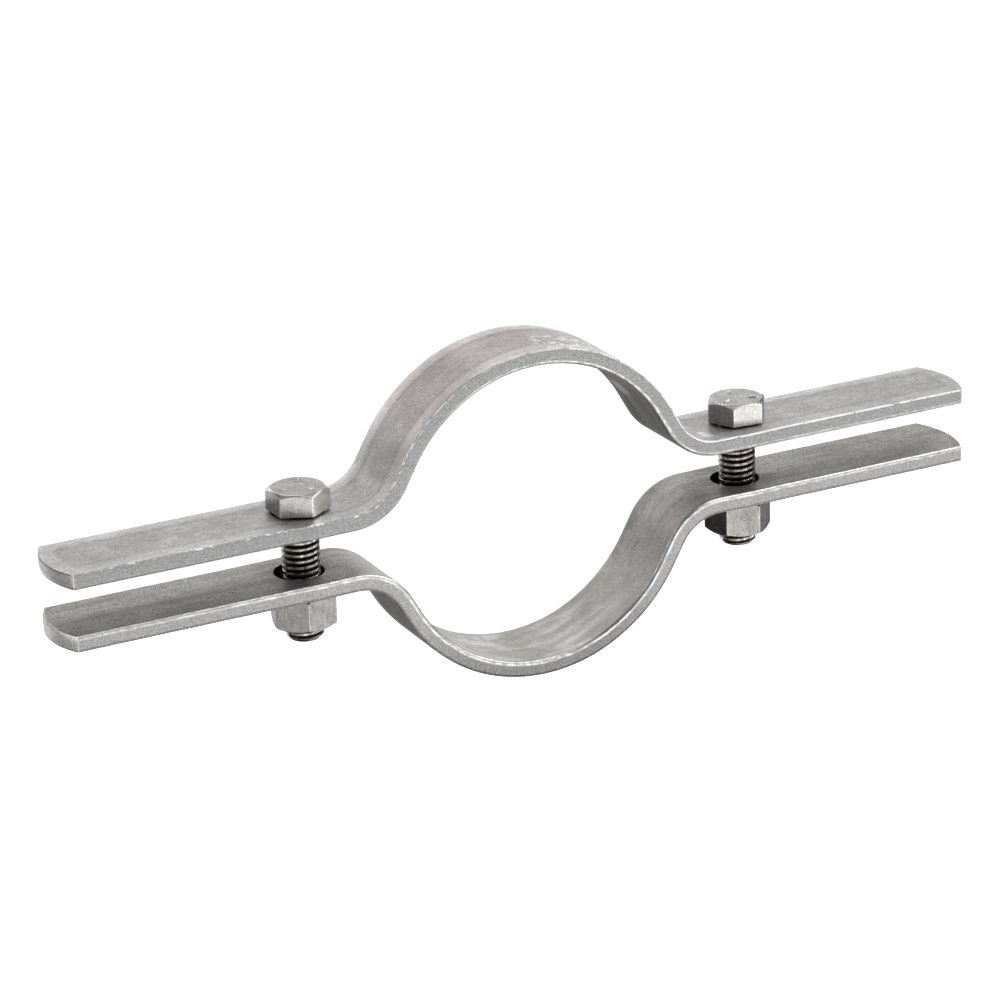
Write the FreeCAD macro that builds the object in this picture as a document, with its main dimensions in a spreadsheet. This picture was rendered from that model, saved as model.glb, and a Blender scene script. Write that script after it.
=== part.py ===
"""Two-bolt riser clamp for a 3 inch pipe, lying on the strap's long edges.

Two formed halves of flat bar face each other across the pipe and are drawn together by two hex
bolts and nuts. Millimetres. X runs along the clamp, Y along the bolts with the heads at +Y, and
Z along the pipe. The origin is on the pipe's axis, level with the edges that the clamp lies on.
"""
import FreeCAD, Part
import math
import os

import Sketcher

# The driving sizes, in millimetres and degrees: alias, value, meaning.
SIZES = [
    ("strap_width", 25.4, "flat bar, across the pipe's axis direction"),
    ("strap_thickness", 4.76, "flat bar"),
    ("edge_radius", 0.8, "rolled long edges on the face towards the pipe"),
    ("seat_radius", 44.45, "outside radius of the pipe that the arcs hold"),
    ("bend_radius", 14.0, "hollow side of the reverse bend between arc and ear"),
    ("bend_flat", 6.5, "straight run between the arc and the reverse bend"),
    ("ear_gap", 13.3, "between the facing ears with the arcs on one axis"),
    ("bolt_setback", 12.35, "end of the reverse bend to the bolt hole's centre"),
    ("ear_reach", 74.9, "bolt hole's centre to the tip of the ear"),
    ("end_radius", 25.4, "rounded cut across the end of each ear"),
    ("hole_diameter", 14.3, "punched bolt hole"),
    ("bolt_diameter", 10.9, "over the crests of the 7/16 inch thread"),
    ("bolt_drift", 0.8, "how far both bolts lie to +X in their holes"),
    ("bolt_end_chamfer", 1.2, "lead-in at the bolt's point"),
    ("thread_projection", 4.22, "bolt past the nut"),
    ("head_flats", 15.9, "bolt head across flats"),
    ("head_height", 7.1, "bolt head"),
    ("nut_flats", 17.3, "nut across flats"),
    ("nut_height", 11.0, "nut"),
    ("nut_clearance", 0.05, "between the nut's bore and the thread's crests, on the radius"),
    ("bore_chamfer", 0.5, "lead-in at both mouths of the nut's bore"),
    ("crown_inset", 0.35, "flat circle on a hexagon's end, inside the flats"),
    ("crown_angle", 30.0, "slope of the turned corners of a hexagon"),
    ("left_head_turn", 26.9, "a corner's angle from +X towards +Z"),
    ("right_head_turn", 4.5, "a corner's angle from +X towards +Z"),
    ("left_nut_turn", 44.7, "a corner's angle from +X towards +Z"),
    ("right_nut_turn", 18.4, "a corner's angle from +X towards +Z"),
]

# Where the reverse bend meets the flat ear, as a distance from the pipe's axis along X.
BEND_END = ("sqrt((sheet.seat_radius + sheet.strap_thickness + sheet.bend_radius)^2 + sheet.bend_flat^2"
            " - (sheet.ear_gap / 2 + sheet.strap_thickness + sheet.bend_radius)^2)")
HOLE_X = BEND_END + " + sheet.bolt_setback"
EAR_TIP = HOLE_X + " + sheet.ear_reach"
EAR_OUTER_FACE = "sheet.ear_gap / 2 + sheet.strap_thickness"

# How far a cutting sketch reaches past the metal it cuts, so that the cut is clean.
OVERCUT = 3.0

# The sketcher's own numbers: a line's points count up from 1, a sketch's axes down from -1.
START, END, CENTRE = range(1, 4)
X_AXIS, Y_AXIS = range(-1, -3, -1)
ORIGIN_POINT = (X_AXIS, START)


def add_sheet(doc):
    """Put the driving sizes into the document's spreadsheet."""
    sheet = doc.addObject("Spreadsheet::Sheet", "sheet")
    for row, (alias, value, meaning) in enumerate(SIZES, start=1):
        sheet.set(f"A{row}", meaning)
        sheet.set(f"B{row}", str(value))
        sheet.setAlias(f"B{row}", alias)
    doc.recompute()
    return sheet


def origin_plane(body, role):
    """Return one of the body's own origin planes, such as XY_Plane."""
    return next(feature for feature in body.Origin.OriginFeatures if feature.Role == role)


def new_sketch(body, name, role):
    """Start a sketch on one of the body's origin planes."""
    sketch = body.newObject("Sketcher::SketchObject", name)
    sketch.AttachmentSupport = (origin_plane(body, role), [""])
    sketch.MapMode = "FlatFace"
    return sketch


def drive(sketch, name, constraint, expression):
    """Add a named constraint to a sketch and bind it to the spreadsheet."""
    index = sketch.addConstraint(constraint)
    sketch.renameConstraint(index, name)
    sketch.setExpression(f"Constraints.{name}", expression)


def line(sketch, first, second):
    """Add a line between two points, given as pairs."""
    return sketch.addGeometry(Part.LineSegment(FreeCAD.Vector(*first, 0), FreeCAD.Vector(*second, 0)))


def arc(sketch, centre, radius, start_angle, end_angle):
    """Add an arc that runs anticlockwise between two angles in radians."""
    circle = Part.Circle(FreeCAD.Vector(*centre, 0), FreeCAD.Vector(0, 0, 1), radius)
    return sketch.addGeometry(Part.ArcOfCircle(circle, start_angle, end_angle))


def on_circle(centre, radius, angle):
    """Return a point on a circle."""
    return (centre[0] + radius * math.cos(angle), centre[1] + radius * math.sin(angle))


def strap_profile(body, sheet):
    """Draw the bent strap's outline for x >= 0: arc, straight run, reverse bend and ear.

    Returns the sketch and the numbers of the lines on the side that faces the pipe.
    """
    sketch = new_sketch(body, "strap_profile", "XY_Plane")
    inner_radius = sheet.seat_radius
    outer_radius = inner_radius + sheet.strap_thickness
    hollow_radius = sheet.bend_radius
    crest_radius = hollow_radius + sheet.strap_thickness
    ear_inner = sheet.ear_gap / 2
    ear_outer = ear_inner + sheet.strap_thickness
    centres_apart = math.hypot(outer_radius + hollow_radius, sheet.bend_flat)
    bend_y = ear_outer + hollow_radius
    bend_x = math.sqrt(centres_apart ** 2 - bend_y ** 2)
    turn = math.atan2(bend_y, bend_x) + math.atan2(sheet.bend_flat, outer_radius + hollow_radius)
    tip_x = bend_x + sheet.bolt_setback + sheet.ear_reach
    pipe_axis = (0.0, 0.0)
    bend_centre = (bend_x, bend_y)

    seat_outer = arc(sketch, pipe_axis, outer_radius, turn, math.pi / 2)
    run_outer = line(sketch, on_circle(pipe_axis, outer_radius, turn),
                     on_circle(bend_centre, hollow_radius, turn + math.pi))
    bend_hollow = arc(sketch, bend_centre, hollow_radius, turn + math.pi, 1.5 * math.pi)
    ear_top = line(sketch, (bend_x, ear_outer), (tip_x, ear_outer))
    ear_end = line(sketch, (tip_x, ear_outer), (tip_x, ear_inner))
    ear_bottom = line(sketch, (tip_x, ear_inner), (bend_x, ear_inner))
    bend_crest = arc(sketch, bend_centre, crest_radius, turn + math.pi, 1.5 * math.pi)
    run_inner = line(sketch, on_circle(bend_centre, crest_radius, turn + math.pi),
                     on_circle(pipe_axis, inner_radius, turn))
    seat_inner = arc(sketch, pipe_axis, inner_radius, turn, math.pi / 2)
    middle = line(sketch, (0.0, inner_radius), (0.0, outer_radius))

    smooth_joints = [
        (seat_outer, START, run_outer, START), (run_outer, END, bend_hollow, START),
        (bend_hollow, END, ear_top, START), (ear_bottom, END, bend_crest, END),
        (bend_crest, START, run_inner, START), (run_inner, END, seat_inner, START),
    ]
    corners = [
        (ear_top, END, ear_end, START), (ear_end, END, ear_bottom, START),
        (seat_inner, END, middle, START), (middle, END, seat_outer, END),
        (bend_hollow, CENTRE, bend_crest, CENTRE),
        (seat_outer, CENTRE, *ORIGIN_POINT), (seat_inner, CENTRE, *ORIGIN_POINT),
    ]
    for joint in smooth_joints:
        sketch.addConstraint(Sketcher.Constraint("Tangent", *joint))
    for corner in corners:
        sketch.addConstraint(Sketcher.Constraint("Coincident", *corner))
    for level in (ear_top, ear_bottom):
        sketch.addConstraint(Sketcher.Constraint("Horizontal", level))
    sketch.addConstraint(Sketcher.Constraint("Vertical", ear_end))
    sketch.addConstraint(Sketcher.Constraint("PointOnObject", middle, START, Y_AXIS))
    sketch.addConstraint(Sketcher.Constraint("PointOnObject", middle, END, Y_AXIS))

    drive(sketch, "seat_inner_radius", Sketcher.Constraint("Radius", seat_inner, inner_radius),
          "sheet.seat_radius")
    drive(sketch, "seat_outer_radius", Sketcher.Constraint("Radius", seat_outer, outer_radius),
          "sheet.seat_radius + sheet.strap_thickness")
    drive(sketch, "bend_hollow_radius", Sketcher.Constraint("Radius", bend_hollow, hollow_radius),
          "sheet.bend_radius")
    drive(sketch, "straight_run", Sketcher.Constraint("Distance", run_outer, sheet.bend_flat),
          "sheet.bend_flat")
    drive(sketch, "ear_inner_face",
          Sketcher.Constraint("DistanceY", *ORIGIN_POINT, ear_bottom, START, ear_inner),
          "sheet.ear_gap / 2")
    drive(sketch, "ear_outer_face",
          Sketcher.Constraint("DistanceY", *ORIGIN_POINT, ear_top, END, ear_outer),
          EAR_OUTER_FACE)
    drive(sketch, "ear_tip", Sketcher.Constraint("DistanceX", *ORIGIN_POINT, ear_top, END, tip_x),
          EAR_TIP)
    return sketch, (ear_bottom, bend_crest, run_inner, seat_inner)


def edges_along(feature, sketch, lines):
    """Name the feature's edges that lie on some of the sketch's lines, seen along Z."""
    outlines = [sketch.Geometry[number].toShape() for number in lines]
    names = []
    for number, edge in enumerate(feature.Shape.Edges, start=1):
        middle = edge.valueAt((edge.FirstParameter + edge.LastParameter) / 2)
        ends = [vertex.Point for vertex in edge.Vertexes]
        flat = Part.Vertex(middle.x, middle.y, 0)
        is_level = all(abs(point.z - middle.z) < 1e-6 for point in ends)
        if is_level and min(flat.distToShape(outline)[0] for outline in outlines) < 1e-5:
            names.append(f"Edge{number}")
    return names


def end_cut(body, sheet, tip_x):
    """Draw the metal that the rounded cut across the ear's end takes away."""
    sketch = new_sketch(body, "end_cut_outline", "XZ_Plane")
    middle_z = sheet.strap_width / 2
    centre = (tip_x - sheet.end_radius, middle_z)
    half_span = math.asin(min((middle_z + OVERCUT) / sheet.end_radius, 1.0))
    curve = arc(sketch, centre, sheet.end_radius, -half_span, half_span)
    low = on_circle(centre, sheet.end_radius, -half_span)
    high = on_circle(centre, sheet.end_radius, half_span)
    far_x = tip_x + OVERCUT
    bottom = line(sketch, low, (far_x, low[1]))
    far = line(sketch, (far_x, low[1]), (far_x, high[1]))
    top = line(sketch, (far_x, high[1]), high)
    for corner in ((curve, START, bottom, START), (bottom, END, far, START),
                   (far, END, top, START), (top, END, curve, END)):
        sketch.addConstraint(Sketcher.Constraint("Coincident", *corner))
    sketch.addConstraint(Sketcher.Constraint("Horizontal", bottom))
    sketch.addConstraint(Sketcher.Constraint("Horizontal", top))
    sketch.addConstraint(Sketcher.Constraint("Vertical", far))
    drive(sketch, "cut_radius", Sketcher.Constraint("Radius", curve, sheet.end_radius),
          "sheet.end_radius")
    drive(sketch, "cut_centre_x",
          Sketcher.Constraint("DistanceX", *ORIGIN_POINT, curve, CENTRE, centre[0]),
          f"{EAR_TIP} - sheet.end_radius")
    drive(sketch, "cut_centre_z",
          Sketcher.Constraint("DistanceY", *ORIGIN_POINT, curve, CENTRE, middle_z),
          "sheet.strap_width / 2")
    drive(sketch, "cut_height", Sketcher.Constraint("DistanceY", far, START, far, END, high[1] - low[1]),
          f"sheet.strap_width + {2 * OVERCUT}")
    sketch.addConstraint(Sketcher.Constraint("Equal", bottom, top))
    drive(sketch, "cut_far_x", Sketcher.Constraint("DistanceX", *ORIGIN_POINT, far, START, far_x),
          f"{EAR_TIP} + {OVERCUT}")
    return sketch


def round_outline(body, name, role, radius, expression, place=None):
    """Draw one circle whose diameter, and centre if given, follow the spreadsheet."""
    sketch = new_sketch(body, name, role)
    start = (0.0, 0.0) if place is None else place[0]
    circle = sketch.addGeometry(Part.Circle(FreeCAD.Vector(*start, 0), FreeCAD.Vector(0, 0, 1), radius))
    drive(sketch, "diameter", Sketcher.Constraint("Diameter", circle, 2 * radius), expression)
    if place is None:
        sketch.addConstraint(Sketcher.Constraint("Coincident", circle, CENTRE, *ORIGIN_POINT))
    else:
        drive(sketch, "centre_x", Sketcher.Constraint("DistanceX", *ORIGIN_POINT, circle, CENTRE, start[0]),
              place[1])
        drive(sketch, "centre_z", Sketcher.Constraint("DistanceY", *ORIGIN_POINT, circle, CENTRE, start[1]),
              place[2])
    return sketch


def through_pocket(body, name, sketch):
    """Cut a sketch right through the body, both ways from its plane."""
    pocket = body.newObject("PartDesign::Pocket", name)
    pocket.Profile = sketch
    pocket.Type = "ThroughAll"
    pocket.Midplane = True
    return pocket


def make_half(doc, sheet, label, turned):
    """Build one half of the clamp; the turned one is the same half swung round the pipe."""
    body = doc.addObject("PartDesign::Body", label)
    body.Label = label
    profile, pipe_side = strap_profile(body, sheet)
    strap = body.newObject("PartDesign::Pad", "strap")
    strap.Profile = profile
    strap.setExpression("Length", "sheet.strap_width")
    doc.recompute()

    rolled_edges = body.newObject("PartDesign::Fillet", "rolled_edges")
    rolled_edges.Base = (strap, edges_along(strap, profile, pipe_side))
    rolled_edges.setExpression("Radius", "sheet.edge_radius")
    doc.recompute()

    tip_x = profile.getDatum("ear_tip").Value
    through_pocket(body, "end_cut", end_cut(body, sheet, tip_x))
    hole_start = (tip_x - sheet.ear_reach, sheet.strap_width / 2)
    hole = round_outline(body, "hole_outline", "XZ_Plane", sheet.hole_diameter / 2,
                         "sheet.hole_diameter", (hole_start, HOLE_X, "sheet.strap_width / 2"))
    through_pocket(body, "bolt_hole", hole)
    doc.recompute()

    both_ears = body.newObject("PartDesign::Mirrored", "both_ears")
    both_ears.Originals = []
    both_ears.TransformMode = "Whole shape"
    both_ears.MirrorPlane = (origin_plane(body, "YZ_Plane"), [""])
    both_ears.Refine = True
    body.Tip = both_ears
    if turned:
        body.Placement = FreeCAD.Placement(FreeCAD.Vector(), FreeCAD.Rotation(FreeCAD.Vector(0, 0, 1), 180))
    doc.recompute()
    return body


def hexagon(body, name, flats, flats_alias):
    """Draw a regular hexagon round the origin, with a corner on +X."""
    sketch = new_sketch(body, name, "XZ_Plane")
    corner_radius = flats / math.sqrt(3)
    circle = sketch.addGeometry(
        Part.Circle(FreeCAD.Vector(), FreeCAD.Vector(0, 0, 1), corner_radius), True)
    sketch.addConstraint(Sketcher.Constraint("Coincident", circle, CENTRE, *ORIGIN_POINT))
    corners = [on_circle((0.0, 0.0), corner_radius, math.radians(60 * step)) for step in range(6)]
    sides = [line(sketch, corners[step], corners[(step + 1) % 6]) for step in range(6)]
    for step, side in enumerate(sides):
        sketch.addConstraint(Sketcher.Constraint("Coincident", side, END, sides[(step + 1) % 6], START))
        sketch.addConstraint(Sketcher.Constraint("PointOnObject", side, START, circle))
    for side in sides[1:]:
        sketch.addConstraint(Sketcher.Constraint("Equal", sides[0], side))
    sketch.addConstraint(Sketcher.Constraint("PointOnObject", sides[0], START, X_AXIS))
    drive(sketch, "corner_radius", Sketcher.Constraint("Radius", circle, corner_radius),
          f"sheet.{flats_alias} / sqrt(3)")
    return sketch


def crown_groove(body, sheet, name, flats_alias, level, level_expression, downward):
    """Turn the hexagon's corners off in a cone at one end of it.

    The cone starts at the edge of a flat circle at the given level and slopes downward or upward.
    """
    sketch = new_sketch(body, f"{name}_outline", "XY_Plane")
    flats = sheet.get(flats_alias)
    inner = flats / 2 - sheet.crown_inset
    outer = flats / math.sqrt(3) + OVERCUT
    drop = (outer - inner) * math.tan(math.radians(sheet.crown_angle)) * (-1 if downward else 1)
    outward = line(sketch, (inner, level), (outer, level))
    edge = line(sketch, (outer, level), (outer, level + drop))
    slope = line(sketch, (outer, level + drop), (inner, level))
    for corner in ((outward, END, edge, START), (edge, END, slope, START), (slope, END, outward, START)):
        sketch.addConstraint(Sketcher.Constraint("Coincident", *corner))
    sketch.addConstraint(Sketcher.Constraint("Horizontal", outward))
    sketch.addConstraint(Sketcher.Constraint("Vertical", edge))
    drive(sketch, "flat_circle", Sketcher.Constraint("DistanceX", *ORIGIN_POINT, outward, START, inner),
          f"sheet.{flats_alias} / 2 - sheet.crown_inset")
    drive(sketch, "reach", Sketcher.Constraint("DistanceX", *ORIGIN_POINT, outward, END, outer),
          f"sheet.{flats_alias} / sqrt(3) + {OVERCUT}")
    if level_expression is None:
        sketch.addConstraint(Sketcher.Constraint("PointOnObject", outward, START, X_AXIS))
    elif level > 0:
        drive(sketch, "level", Sketcher.Constraint("DistanceY", *ORIGIN_POINT, outward, START, level),
              level_expression)
    else:
        drive(sketch, "level", Sketcher.Constraint("DistanceY", outward, START, *ORIGIN_POINT, -level),
              level_expression)
    drop_constraint = (edge, END, edge, START) if downward else (edge, START, edge, END)
    drive(sketch, "drop", Sketcher.Constraint("DistanceY", *drop_constraint, abs(drop)),
          f"(sheet.{flats_alias} * (1 / sqrt(3) - 0.5) + sheet.crown_inset + {OVERCUT})"
          " * tan(sheet.crown_angle * 1 deg)")
    groove = body.newObject("PartDesign::Groove", name)
    groove.Profile = sketch
    groove.ReferenceAxis = (sketch, ["V_Axis"])
    groove.Angle = 360.0
    return groove


def place_on_bolt_line(body, side, level_expression, turn_alias):
    """Stand a body on one bolt's axis at a height along Y, turned about that axis."""
    body.Placement = FreeCAD.Placement(FreeCAD.Vector(), FreeCAD.Rotation(FreeCAD.Vector(0, 1, 0), 1))
    sign = "-" if side == "left" else ""
    body.setExpression("Placement.Base.x", f"{sign}({HOLE_X}) + sheet.bolt_drift")
    body.setExpression("Placement.Base.y", level_expression)
    body.setExpression("Placement.Base.z", "sheet.strap_width / 2")
    body.setExpression("Placement.Rotation.Angle", f"-sheet.{turn_alias} * 1 deg")


def make_bolt(doc, sheet, side):
    """Build a hex bolt; its own origin is under the head, which stands towards +Y."""
    label = f"{side}_bolt"
    body = doc.addObject("PartDesign::Body", label)
    body.Label = label
    head = body.newObject("PartDesign::Pad", "head")
    head.Profile = hexagon(body, "head_outline", sheet.head_flats, "head_flats")
    head.setExpression("Length", "sheet.head_height")
    head.Reversed = True
    doc.recompute()
    crown_groove(body, sheet, "head_crown", "head_flats", sheet.head_height, "sheet.head_height", True)
    doc.recompute()
    shank = body.newObject("PartDesign::Pad", "shank")
    shank.Profile = round_outline(body, "shank_outline", "XZ_Plane", sheet.bolt_diameter / 2,
                                  "sheet.bolt_diameter")
    shank.setExpression("Length", "sheet.ear_gap + 2 * sheet.strap_thickness + sheet.nut_height"
                                  " + sheet.thread_projection")
    doc.recompute()
    lowest = min(range(len(shank.Shape.Edges)),
                 key=lambda number: shank.Shape.Edges[number].CenterOfMass.y)
    point = body.newObject("PartDesign::Chamfer", "bolt_point")
    point.Base = (shank, [f"Edge{lowest + 1}"])
    point.setExpression("Size", "sheet.bolt_end_chamfer")
    body.Tip = point
    place_on_bolt_line(body, side, EAR_OUTER_FACE, f"{side}_head_turn")
    doc.recompute()
    return body


def make_nut(doc, sheet, side):
    """Build a double-chamfered hex nut; its own origin is on the face towards the ear."""
    label = f"{side}_nut"
    body = doc.addObject("PartDesign::Body", label)
    body.Label = label
    block = body.newObject("PartDesign::Pad", "block")
    block.Profile = hexagon(body, "nut_outline", sheet.nut_flats, "nut_flats")
    block.setExpression("Length", "sheet.nut_height")
    doc.recompute()
    crown_groove(body, sheet, "ear_side_crown", "nut_flats", 0.0, None, True)
    crown_groove(body, sheet, "free_side_crown", "nut_flats", -sheet.nut_height, "sheet.nut_height", False)
    doc.recompute()
    bore_radius = sheet.bolt_diameter / 2 + sheet.nut_clearance
    bore = through_pocket(body, "bore", round_outline(
        body, "bore_outline", "XZ_Plane", bore_radius, "sheet.bolt_diameter + 2 * sheet.nut_clearance"))
    doc.recompute()
    mouths = [f"Edge{number}" for number, edge in enumerate(bore.Shape.Edges, start=1)
              if isinstance(edge.Curve, Part.Circle) and abs(edge.Curve.Radius - bore_radius) < 1e-6]
    lead_in = body.newObject("PartDesign::Chamfer", "bore_lead_in")
    lead_in.Base = (bore, mouths)
    lead_in.setExpression("Size", "sheet.bore_chamfer")
    body.Tip = lead_in
    place_on_bolt_line(body, side, f"-({EAR_OUTER_FACE})", f"{side}_nut_turn")
    doc.recompute()
    return body


def check(doc, bodies):
    """Stop if any object failed or a body's shape is empty, broken or in pieces."""
    for item in doc.Objects:
        if {"Invalid", "Error"} & set(item.State):
            raise RuntimeError(f"{item.Name} did not compute: {item.State}")
    for body in bodies:
        if body.Shape.isNull() or not body.Shape.isValid() or len(body.Shape.Solids) != 1:
            raise RuntimeError(f"{body.Label} has no single valid solid")


def main():
    """Build every piece of the clamp and write one STEP file for each."""
    doc = FreeCAD.newDocument("riser_clamp")
    sheet = add_sheet(doc)
    bodies = [
        make_half(doc, sheet, "head_side_half", turned=False),
        make_half(doc, sheet, "nut_side_half", turned=True),
    ]
    for side in ("left", "right"):
        bodies.append(make_bolt(doc, sheet, side))
        bodies.append(make_nut(doc, sheet, side))
    doc.recompute()
    check(doc, bodies)
    os.makedirs("parts", exist_ok=True)
    for body in bodies:
        body.Shape.exportStep(os.path.join("parts", f"{body.Label}.step"))
        box = body.Shape.BoundBox
        print(f"{body.Label}: volume {body.Shape.Volume:.1f} mm3, x {box.XMin:.2f} to {box.XMax:.2f},"
              f" y {box.YMin:.2f} to {box.YMax:.2f}, z {box.ZMin:.2f} to {box.ZMax:.2f}")


main()
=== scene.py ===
"""A two-bolt riser clamp of bent flat bar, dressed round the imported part.

Metres, or millimetres where a class says so. X runs along the clamp, Y along the bolts with the
heads at +Y, and Z along the pipe. The clamp lies on the long edges of its bars at Z = 0.
"""
from __future__ import annotations

import logging
import math
from collections.abc import Callable
from collections.abc import Mapping
from collections.abc import Sequence
from dataclasses import dataclass
from enum import Enum

import bpy
import numpy as np
from mathutils import Matrix
from mathutils import Vector
from mathutils import noise as ripple

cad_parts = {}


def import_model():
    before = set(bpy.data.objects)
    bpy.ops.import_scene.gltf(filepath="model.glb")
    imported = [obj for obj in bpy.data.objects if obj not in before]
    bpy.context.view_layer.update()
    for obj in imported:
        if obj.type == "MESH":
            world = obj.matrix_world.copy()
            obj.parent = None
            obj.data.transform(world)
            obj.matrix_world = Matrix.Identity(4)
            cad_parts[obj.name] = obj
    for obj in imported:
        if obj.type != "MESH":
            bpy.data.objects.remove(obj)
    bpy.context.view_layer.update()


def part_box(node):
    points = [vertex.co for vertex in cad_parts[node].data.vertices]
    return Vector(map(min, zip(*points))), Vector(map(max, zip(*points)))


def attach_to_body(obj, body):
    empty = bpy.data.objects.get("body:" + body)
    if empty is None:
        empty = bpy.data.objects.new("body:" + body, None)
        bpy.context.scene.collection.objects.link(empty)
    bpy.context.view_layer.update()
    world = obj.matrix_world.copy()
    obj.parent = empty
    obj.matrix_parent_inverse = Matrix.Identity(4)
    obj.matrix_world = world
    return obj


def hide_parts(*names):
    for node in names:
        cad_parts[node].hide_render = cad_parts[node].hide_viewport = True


LOG = logging.getLogger("riser_clamp")

MM = 0.001
WELD_STEP = 1e-4
BAR_ATTRIBUTE = "bar_place"
# Depth of the thread's grooves, and the marks for painted contact shadow under heads and on nuts.
GROOVE_ATTRIBUTE = "thread_groove"
# Edge wear, together with each facet's painted light and shade and the painted edge highlights.
WEAR_ATTRIBUTE = "edge_wear"

Triple = tuple[float, float, float]


class HalfPlace(Enum):
    """Which side of the pipe a half of the clamp stands on."""

    HEAD_SIDE = "head_side"
    NUT_SIDE = "nut_side"


class BoltSide(Enum):
    """Which ear a bolt and its nut belong to, as the clamp is seen from above."""

    LEFT = "left"
    RIGHT = "right"


def adds_math(operation: str, swapped: bool = False) -> Callable[[Wire, Operand], Wire]:
    """Return an operator for wires that adds a Math node.

    Args:
        operation: The node's operation.
        swapped: Whether the other value comes first, as in 1 - mask.

    Returns:
        The operator, as a method.
    """

    def method(self: Wire, other: Operand) -> Wire:
        """Add the node and return its output."""
        values = (other, self) if swapped else (self, other)
        return self.graph.math(operation, *values)

    return method


class Wire:
    """An output of a node, on which Python's own operators add Math nodes."""

    __add__, __radd__ = adds_math("ADD"), adds_math("ADD", True)
    __sub__, __rsub__ = adds_math("SUBTRACT"), adds_math("SUBTRACT", True)
    __mul__, __rmul__ = adds_math("MULTIPLY"), adds_math("MULTIPLY", True)
    __truediv__, __rtruediv__ = adds_math("DIVIDE"), adds_math("DIVIDE", True)
    low, high = adds_math("MINIMUM"), adds_math("MAXIMUM")

    def __init__(self, graph: Graph, socket: bpy.types.NodeSocket) -> None:
        """Keep the output socket, and the graph that new nodes are added to."""
        self.graph = graph
        self.socket = socket

    def apply(self, operation: str) -> Wire:
        """Return a one-value Math operation of this, such as SINE or FLOOR."""
        return self.graph.math(operation, self)

    def ramp(self, start: float, end: float) -> Wire:
        """Return a smooth step.

        Args:
            start: Where it is 0, which may be the greater of the two.
            end: Where it is 1.

        Returns:
            The step.
        """
        settings = {"interpolation_type": "SMOOTHSTEP", "clamp": True}
        limits = {"From Min": min(start, end), "From Max": max(start, end)}
        step = self.graph.node("ShaderNodeMapRange", settings, {"Value": self, **limits})
        return step if start < end else 1.0 - step


Operand = Wire | float
Link = Wire | float | int | bool | str | Sequence[float] | bpy.types.ID


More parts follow.
